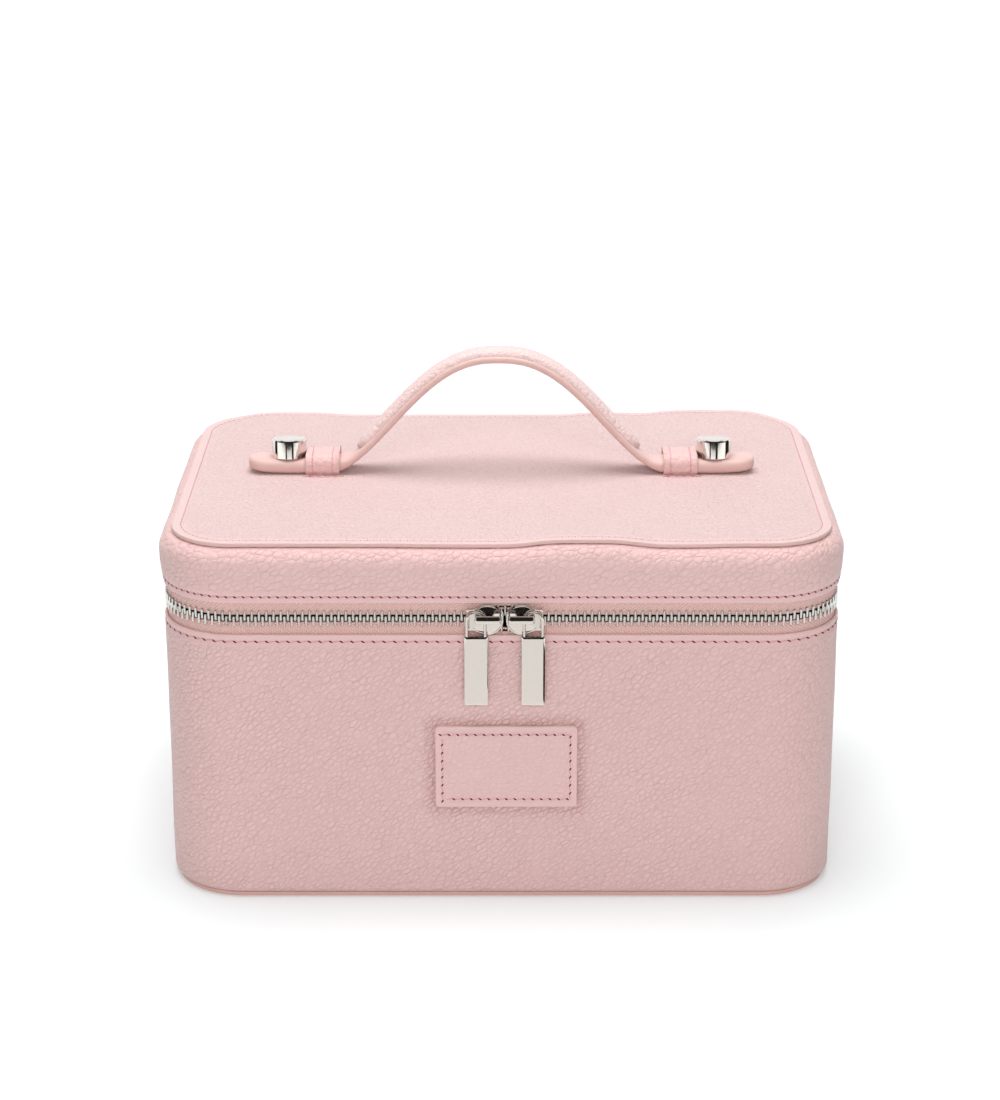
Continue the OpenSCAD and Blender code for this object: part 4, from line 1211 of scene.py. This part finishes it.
def grip_half(label, side):
    """Dome sections: across = w / 2 cos a, height = h sin a ^ 0.8, fading at the end."""
    round_end = GRIP_END_R * (1 - np.sin(np.radians(np.linspace(8, 84, 11))))
    d = np.concatenate([np.linspace(0, GRIP_HALF_L - GRIP_END_R, 44), GRIP_HALF_L - round_end])
    near = np.clip((GRIP_HALF_L - d) / GRIP_END_R, 0, 1)
    k = np.sqrt(1 - (1 - near) ** 2)[:, None]
    a = np.radians(np.linspace(0, 180, 15))[None]
    y = GRIP_W / 2 * k * np.cos(a)
    v = GRIP_EDGE_T + GAP + GRIP_H * (0.3 + 0.7 * k) * np.sin(a) ** 0.8
    floor = np.linspace(-0.7, 0.7, 4)[None]
    y = np.concatenate([y, GRIP_W / 2 * k * floor], 1)
    v = np.concatenate([v, GRIP_EDGE_T - 0.3 + 0 * k * floor], 1)
    skin = solid(along_arch(ARCH_X + side * d, np.stack([y, v], -1)), v=d)
    made = piece(f"grip_{label}", skin, grip_leather, sharp=75)
    return bend_with_handle(made)


for label, side in SIDES:
    grip = grip_half(label, side)
    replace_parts(grip, "grip_cover")

# %% [markdown]
# ## Studs
#
# Each strap end carries a turned metal knob, which stops at the leather loop when the handle
# is lifted. A turned piece is one profile spun round its axis: a straight side, a bevel, and
# a shallow ring cut into the top.

# %% Knobs
KEEPER_X, KEEPER_W, KEEPER_T, KEEPER_ROOM = 70.9, 13.8, 1.2, 0.15
KNOB_D, KNOB_H, POST_D, STUD_GAP = 13.7, 8.0, 5.0, 0.35
STUD_X = KEEPER_X + KEEPER_W / 2 + STUD_GAP + KNOB_D / 2
KNOB_LEAN, KNOB_SINK = math.radians(8.0), 0.35


def knob(label, side):
    """Profile [radius, height over the strap's underside], spun through a full turn. The
    knob leans back with the strap's soft end and sinks a little into its leather."""
    r, foot = KNOB_D / 2, STRAP_T + GAP - KNOB_SINK
    top = foot + KNOB_H - KNOB_SINK
    low = [[0.4, 1.3], [POST_D / 2, 1.3], [POST_D / 2, foot - 0.02], [r - 0.2, foot],
           [r - 0.05, foot + 0.05], [r, foot + 0.15], [r, foot + 0.2], [r, foot + 0.3]]
    bevel = [[r, top - 1.0], [r - 0.01, top - 0.85], [r - 0.05, top - 0.6],
             [r - 0.12, top - 0.4], [r - 0.34, top - 0.1], [r - 0.4, top - 0.01],
             [r - 0.46, top], [r - 0.55, top]]
    face = [[5.3, top], [5.2, top], [5.14, top - 0.03], [5.0, top - 0.12], [4.8, top - 0.12],
            [4.66, top - 0.03], [4.6, top], [4.5, top], [3.0, top], [1.0, top]]
    profile = np.array(low + bevel + face)
    turn = np.linspace(0, 2 * math.pi, 96, endpoint=False)
    flat = profile[:, None, :1] * np.stack([np.cos(turn), np.sin(turn)], -1)
    upright = with_third(flat + [side * STUD_X, 0], profile[:, None, 1:])
    made = piece(f"stud_knob_{label}", solid(on_handle(upright, KNOB_LEAN)), nickel,
                 f"stud_{label}", 24)
    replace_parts(made, f"knob_{label}")


for label, side in SIDES:
    knob(label, side)

# %% [markdown]
# ## Keeper loops
#
# Each loop is a leather band that comes up out of a slit in the top panel, passes over the
# strap and goes down into a second slit. Its path is a tunnel with round shoulders, and its
# section is a thin rectangle with round painted edges.

# %% Keeper loops
KEEPER_Y = HANDLE_Y + EDGE_R * math.sin(LEAN)
KEEPER_HALF = LEAN_Y + 2 * KEEPER_ROOM + KEEPER_T / 2
KEEPER_AT, KEEPER_WIDE, KEEPER_SLACK = KEEPER_X + 0.45, KEEPER_W - 0.2, 0.7
KEEPER_RISE = float(arch(np.array([-(KEEPER_X - KEEPER_W / 2)]))[0])
KEEPER_ROOF = (STRAP_Z + EDGE_R * math.cos(LEAN) + LEAN_Z + KEEPER_RISE + KEEPER_ROOM
               + KEEPER_T / 2 + KEEPER_SLACK)
KEEPER_FOOT = PANEL_Z + 2 * GAP
KEEPER_BEND, KEEPER_TUCK = 3.6, 1.6
KEEPER_SEAM = KEEPER_W / 2 - 2.95


def keeper_path(n=14):
    """Middle line of the band in y and z, front foot first, with its outward normals. The
    feet draw in by KEEPER_TUCK under the strap's round edges, along a smoothstep of the
    height."""
    top, half, r = KEEPER_ROOF, KEEPER_HALF, KEEPER_BEND
    up = np.linspace(KEEPER_FOOT, top - r, n)
    tuck = KEEPER_TUCK * (1 - smooth((up - LID_TOP) / 2.9))
    front = np.stack([tuck - half, up], -1)
    over = np.linspace(-(half - r), half - r, n)[1:-1]
    line = np.concatenate([front, arc(r - half, top - r, r, 180, 90, 8)[1:],
                           np.stack([over, 0 * over + top], -1),
                           arc(half - r, top - r, r, 90, 0, 8), (front * [-1, 1])[::-1][1:]])
    ahead = np.gradient(line, axis=0)
    ahead /= np.linalg.norm(ahead, axis=1)[:, None]
    return line, np.stack([-ahead[:, 1], ahead[:, 0]], -1)


def follow_strap(x, z):
    """The loop's roof sinks with the strap towards its outer side, and its feet don't."""
    return (arch(x) - KEEPER_RISE) * smooth((z - KEEPER_FOOT) / (KEEPER_ROOF - KEEPER_FOOT))


def keeper(label, side):
    """Section: flat inside, low crown outside, round edges that curl away from the strap."""
    line, normal = keeper_path()
    half_w, r = KEEPER_WIDE / 2, KEEPER_T / 2
    flat = (half_w - r) * np.linspace(-0.93, 0.93, 15)
    section = np.concatenate([
        np.stack([flat, 0 * flat + r], -1), arc(half_w - r, 0, r, 90, -90, 6),
        np.stack([flat[::-1], 0 * flat - r], -1), arc(r - half_w, 0, r, 270, 90, 6)])
    across, high = section.T
    curl = np.where(across * side < 0, 0.75, 0.3) * np.abs(across / half_w) ** 7
    seam = 0.14 * np.exp(-((np.abs(across) - KEEPER_SEAM) / 0.7) ** 2)
    high = high + curl
    high = high - seam * (high > 0)
    x = side * KEEPER_AT + np.broadcast_to(across, (len(line), len(section)))
    yz = line[:, None] + high[None, :, None] * normal[:, None]
    z = yz[..., 1] + follow_strap(x, yz[..., 1])
    skin = solid(np.stack([x, KEEPER_Y + yz[..., 0], z], -1), v=distance(line), grain=0.7)
    edge = np.r_[np.zeros(15), np.ones(6), np.zeros(16), np.ones(6), 0].astype(int)
    skin["paint"][0] = np.tile(edge, len(line) - 1)
    made = piece(f"keeper_band_{label}", skin, [trim_leather, edge_paint], "lid",
                 50)
    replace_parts(made, f"keeper_{label}")


for label, side in SIDES:
    keeper(label, side)

# %% [markdown]
# ## The blank patch
#
# A small stitched patch sits on the front. It is drawn in the plane of the front and built
# like the top panel: loops from its back, round the painted edge, over its face. A shallow
# channel runs just inside the edge, and the middle is a little padded.

# %% Label patch
LABEL_T, LABEL_R, LABEL_EDGE_R = 1.2, 1.5, 0.45
LABEL_Y = CASE_D / 2 + GAP
half_w, half_h = LABEL_W / 2 - LABEL_R, LABEL_H / 2 - LABEL_R
edge = arc(LABEL_R - LABEL_EDGE_R, LABEL_T - LABEL_EDGE_R, LABEL_EDGE_R, 0, 90, 5)
share = np.linspace(0.985, 0.03, 34)
channel = 0.12 * np.exp(-((share - 0.9) / 0.02) ** 2)
padded = 0.25 * smooth((0.74 - share) / 0.3)
face = np.stack([0 * share + 0.3, LABEL_T + padded - channel, share], -1)
rows = np.concatenate([
    [[LABEL_R, 0, 0.1], [LABEL_R, 0, 0.6], [LABEL_R, 0, 1], [LABEL_R, LABEL_T * 0.4, 1]],
    [[*p, 1] for p in edge], [[0.7, LABEL_T, 1], [0.3, LABEL_T, 1]], face])
points, s = rings(rows, 180, r=LABEL_R, hx=half_w, hy=half_h)
paint = np.zeros(len(rows) - 1, int)
paint[2:8] = 1
x, z, out = np.moveaxis(points, -1, 0)
points = np.stack([LABEL_X + x, -LABEL_Y - out, LABEL_Z + z], -1)
grain = np.where(rows[:, 2] < 0.93, 0.9, 0.3)
skin = solid(points, u=s, v=distance(rows), paint=paint, grain=grain[:, None])
patch = piece("front_patch", skin, [trim_leather, edge_paint], "case", 50)
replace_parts(patch, "label_patch")

# %% [markdown]
# ## Thread
#
# Stitches are the fine detail that tells the eye how big the case is. Each stitch is a short
# length of thread that dips into the leather at both ends. Between two stitches sits a small
# dark ellipsoid, the painted shade of a needle hole. A line of stitches needs only its
# points, the direction along it and the direction out of the leather.

# %% Stitches and the painted shade of needle holes
stitches = {"case": [], "lid": []}
hole_shades = {"case": [], "lid": []}


def sew(body, place, ahead, up, pitch, fill=0.7, thick=0.34, slant=0.14, proud=0.2, hole=1.0):
    """Adds one skin of stitches at the given places (n, 3), and one of small dark ellipsoids
    between them: the painted shade of the needle holes.

    A stitch is fill * pitch long, slants by slant * pitch, stands proud and is an octagon
    tube whose radius falls off as (1 - (2 t)^4)^0.5. A hole's painted shade is a dark, slanted
    ellipsoid band.
    The arrays are stitches x stations x points round x 3."""
    place, ahead, up = (a[:, None, None] for a in (place, ahead, up))
    cross = np.cross(up, ahead)
    t = np.linspace(-0.5, 0.5, 7)[:, None, None]
    high = proud * np.cos(math.pi * t) ** 0.7 - 0.16
    slim = np.sqrt(np.clip(1 - (2 * t) ** 4, 0.06, 1))
    turn = np.linspace(0, 2 * math.pi, 6, endpoint=False)[:, None]
    line = place + t * pitch * fill * ahead + t * pitch * slant * cross + high * up
    ring = thick * slim * (np.cos(turn) * cross + 0.8 * np.sin(turn) * up)
    stitches[body].append(solid(line + ring))
    # The dark ellipsoid between two stitches is the painted shade of the needle hole.
    tilt = np.radians([-50, 0, 50])[:, None, None]
    spin = np.linspace(0, 2 * math.pi, 8, endpoint=False)[:, None]
    a, b, c, lean = 0.19 * pitch * hole, 0.38 * hole, 0.12 * hole, 0.45
    flat = a * np.cos(tilt) * np.cos(spin) * (ahead - lean * cross)
    wide = b * np.cos(tilt) * np.sin(spin) * cross
    deep = c * np.sin(tilt) * up
    hole_shades[body].append(solid(place + (pitch / 2) * ahead + flat + wide + deep))


def even_steps(pitch, r, hx=STRAIGHT_X, hy=STRAIGHT_Y):
    """Places, outward directions and the true pitch of whole stitches round an outline."""
    length = outline_length(r, hx, hy)
    n = round(length / pitch)
    centre, out = walk((np.arange(n) + 0.5) * length / n, r, hx, hy)
    return centre + r * out, out, length / n


def sew_round(body, r, z, pitch, on_top=False, **more):
    """A closed line of stitches round the plan at distance r and height z, on the walls or
    on top, where it follows the waves of the panel."""
    flat, out, pitch = even_steps(pitch, r)
    zero = 0 * flat[:, 0]
    high = z + (wave(flat[:, 0], flat[:, 1]) if on_top else zero)
    ahead = np.stack([-out[:, 1], out[:, 0], zero], -1)
    up = np.stack([zero, zero, zero + 1], -1) if on_top else with_third(out, 0.0)
    sew(body, np.column_stack([flat, high]), ahead, up, pitch, **more)


print("stitch helpers ready for", ", ".join(stitches))

# %% [markdown]
# ### Lines round the case and the patch
#
# Body, lid and top panel each have one closed line, and the patch has one in its own plane.

# %% Lines round the case and the patch
share = (LID_STITCH_Z - z_rim) / (z_arc - z_rim)
sew_round("case", CORNER_R - 0.2, BODY_STITCH_Z, 4.0)
sew_round("lid", CORNER_R + LID_BULGE * (1 - (1 - share) ** 2) - 0.2, LID_STITCH_Z, 3.2)
sew_round("lid", PANEL_R - PANEL_STITCH, LID_TOP - 0.14, 2.5, on_top=True, thick=0.24,
          proud=0.1, hole=0.6)

# Round the patch: a rectangle about 3 mm inside its edge.
flat, out, pitch = even_steps(3.3, 0.3, LABEL_W / 2 - 3.0, LABEL_H / 2 - 3.7)
zero = 0 * flat[:, 0]
place = np.stack([LABEL_X + flat[:, 0], zero - LABEL_Y - LABEL_T - 0.02, LABEL_Z + flat[:, 1]], -1)
ahead = np.stack([-out[:, 1], zero, out[:, 0]], -1)
sew("case", place, ahead, np.broadcast_to([0.0, -1.0, 0.0], place.shape), pitch, thick=0.26)
print("closed lines of stitches:", len(stitches["case"]) + len(stitches["lid"]))

# %% [markdown]
# ### Stitches of the loops
#
# Each loop has a line of stitches along both its edges. Where its band goes down into the
# panel, a short curved line in front of the foot and one behind it hold it from below.

# %% Stitches of the loops
LOOP_PITCH, FOOT_PITCH, FOOT_CURVE = 2.3, 3.2, 0.9
line, normal = keeper_path(25)
walked = distance(line)
at = np.arange(2.9, walked[-1] - 2.4, LOOP_PITCH)
y, z = (np.interp(at, walked, line[:, c]) for c in (0, 1))
up = np.stack([0 * at] + [np.interp(at, walked, normal[:, c]) for c in (0, 1)], -1)
ahead = np.stack([0 * at, up[:, 2], -up[:, 1]], -1)
foot = np.linspace(-KEEPER_W / 2 + 0.4, KEEPER_W / 2 - 0.4, 5)
for _, side in SIDES:
    for seam in (-KEEPER_SEAM, KEEPER_SEAM):
        x = np.full(len(at), side * KEEPER_AT + seam)
        place = np.stack([x, KEEPER_Y + y, z + follow_strap(x, z)], -1) + (KEEPER_T / 2 - 0.08) * up
        sew("lid", place, ahead, up, LOOP_PITCH, thick=0.3, hole=0.42)
    for back in (-1, 1):
        off = KEEPER_HALF + 1.7 - FOOT_CURVE * (2 * foot / KEEPER_W) ** 2
        slope = -back * FOOT_CURVE * 8 * foot / KEEPER_W ** 2
        along = np.stack([0 * foot + 1, slope, 0 * foot], -1) / np.sqrt(1 + slope ** 2)[:, None]
        place = np.stack([side * KEEPER_AT + foot, KEEPER_Y + back * off,
                          0 * foot + LID_TOP + 0.05], -1)
        sew("lid", place, along, np.broadcast_to([0.0, 0.0, 1.0], place.shape), FOOT_PITCH,
            fill=0.85, thick=0.38, proud=0.35, hole=0.7)

for body in ("case", "lid"):
    piece(f"thread_{body}", stitches[body], thread, body, sharp=60)
    piece(f"needle_hole_shades_{body}", hole_shades[body], needle_hole_shade, body, sharp=60)

# %% [markdown]
# ## Nodes that stay as they are
#
# The boards, the foam, the zip's end stops and the screws already have the right shape. They
# keep their CAD mesh and get their material here.

# %% Materials for the nodes that stay
STAYING = {
    "base_board": board, "body_board": board, "lid_board": board, "grip_filler": board,
    "top_padding": foam, "zip_stops_lower": tooth_metal, "zip_stops_upper": tooth_metal,
    "stud_screw_left": nickel, "stud_screw_right": nickel,
}
for name, finish in STAYING.items():
    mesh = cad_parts[name].data
    mesh.materials.clear()
    mesh.materials.append(finish)
print("kept nodes:", ", ".join(STAYING))

# %% [markdown]
# ## Floor, light and background
#
# A pale floor, a soft lamp above and one in front give the light of a product photograph.
# The floor is white where the camera looks at it, apart from the object's shadow. The world
# is white for the camera and for what metal mirrors beside and behind the case, and lights
# the leather only softly.

# %% Floor, lamps and world
def flat_sheet(name, corners, material):
    """A stage piece of one quad."""
    mesh = bpy.data.meshes.new(name)
    mesh.from_pydata(corners, [], [(0, 1, 2, 3)])
    mesh.materials.append(material)
    made = bpy.data.objects.new(name, mesh)
    bpy.context.scene.collection.objects.link(made)
    return made


def floor_material():
    """Pale and matt. What the camera and the metal see glows up to white with the distance
    from the object, where the lamps don't reach."""
    # The floor's faint blue is painted against the pink light that the case throws onto it.
    material, tree, shader, where = new_material(
        "floor_white", Roughness=0.9, Specular_IOR_Level=0.1, Base_Color=(0.815, 0.86, 0.868, 1),
        Emission_Color=(1, 1, 1, 1))
    path = node(tree, "ShaderNodeLightPath").outputs
    seen = math_node(tree, "MAXIMUM", path["Is Camera Ray"], path["Is Glossy Ray"])
    seen = math_node(tree, "MAXIMUM", seen, path["Is Transmission Ray"])
    away = node(tree, "ShaderNodeVectorMath", operation="LENGTH", Vector=where).outputs["Value"]
    far = map_range(tree, away, 0.2, 2.0, 0.2, 1.0, "brighter where the lamps don't reach")
    link(tree, times(tree, seen, far), shader.inputs["Emission Strength"])
    return material


def area(name, place, target, size, power):
    """A round soft lamp that metal doesn't mirror."""
    data = bpy.data.lights.new(name, "AREA")
    data.shape, data.size, data.energy = "DISK", size, power
    lamp = bpy.data.objects.new(name, data)
    lamp.location = place
    lamp.rotation_euler = (Vector(target) - Vector(place)).to_track_quat("-Z", "Y").to_euler()
    lamp.visible_glossy = False
    bpy.context.scene.collection.objects.link(lamp)


FLOOR_HALF = 6.0
flat_sheet("floor", [(x * FLOOR_HALF, y * FLOOR_HALF, 0)
                     for x, y in ((-1, -1), (1, -1), (1, 1), (-1, 1))], floor_material())
area("top_softbox", (-0.04, 0.09, 1.2), (0, 0, 0.1), 0.9, 12.0)
area("front_softbox", (0.0, -2.0, 0.9), (0, 0, 0.08), 1.6, 17.2)

WORLD_DIFFUSE, WORLD_DARK = 0.33, 0.04  # strengths: on the leather, in the mirrored dark
world = bpy.data.worlds.new("studio")
bpy.context.scene.world = world
world.use_nodes = True
t = world.node_tree
path = node(t, "ShaderNodeLightPath").outputs
direction = node(t, "ShaderNodeTexCoord").outputs["Generated"]
split = node(t, "ShaderNodeSeparateXYZ", Vector=direction).outputs
overhead = map_range(t, split[2], 0.72, 0.84, label="the lamp overhead")
behind = map_range(t, split[1], -0.35, 0.0, label="white wall behind and beside")
low_strip = minus(t, 1.0, map_range(t, split[2], 0.0, 0.03, label="white floor in front"))
mirrored = math_node(t, "MAXIMUM", math_node(t, "MAXIMUM", overhead, behind), low_strip)
mirrored = math_node(t, "MAXIMUM", mirrored, WORLD_DARK)
mirrored = times(t, mirrored, path["Is Glossy Ray"])
seen = math_node(t, "MAXIMUM", path["Is Camera Ray"], path["Is Transmission Ray"])
seen = math_node(t, "MAXIMUM", seen, mirrored)
soft = times(t, minus(t, 1.0, path["Is Glossy Ray"]), WORLD_DIFFUSE)
background = t.nodes["Background"].inputs
link(t, math_node(t, "MAXIMUM", seen, soft), background["Strength"])
background["Color"].default_value = (1, 1, 1, 1)

# %% [markdown]
# ## Cards
#
# Polished metal needs something dark to show its shape. Photographers hang black cards round
# such an object, so the same is done here. Only mirrored rays see them: two stand left and
# right in front, a wide one hangs over the camera, a small one darkens the sliders' upper
# half, and three stand beside the case and draw the dark edges of knobs and tabs. A grey one
# lies in front and gives the tabs their warm grey.

# %% Cards that only the metal mirrors
BLACK = speckled("black_cloth", (0.006, 0.005, 0.005, 1), (0.012, 0.011, 0.010, 1), 30.0, 1.0,
                 0.0001)
GREY = speckled("grey_cloth", (0.79, 0.78, 0.77, 1), (0.83, 0.82, 0.81, 1), 30.0, 1.0, 0.0001)
CARDS = [  # name, x, y and z (two ranges and one fixed value), material
    ("card_front_left", (-0.40, -0.25), -0.8, (0.002, 0.5), BLACK),
    ("card_front_right", (0.21, 0.43), -0.8, (0.002, 0.5), BLACK),
    ("card_front_wide", (-0.4, 0.4), -1.1, (0.17, 0.9), BLACK),
    ("card_slider", (-0.05, 0.05), -0.25, (0.098, 0.126), BLACK),
    ("card_right", 0.5, (-0.07, 0.22), (0.002, 0.35), BLACK),
    ("card_left", -0.5, (-0.06, 0.12), (0.002, 0.35), BLACK),
    ("card_near", 0.12, (-0.185, -0.125), (0.012, 0.066), BLACK),
    ("card_floor", (-0.3, 0.3), (-0.75, -0.13), 0.003, GREY),
]
for name, *box, material in CARDS:
    a, b = (axis for axis in range(3) if isinstance(box[axis], tuple))
    corners = []
    for i, j in ((0, 0), (1, 0), (1, 1), (0, 1)):
        corner = list(box)
        corner[a], corner[b] = box[a][i], box[b][j]
        corners.append(corner)
    card = flat_sheet(name, corners, material)
    card.visible_camera = card.visible_diffuse = card.visible_shadow = False
    card.visible_transmission = card.visible_volume_scatter = False
print("lamps:", len(bpy.data.lights), "cards:", len(CARDS))
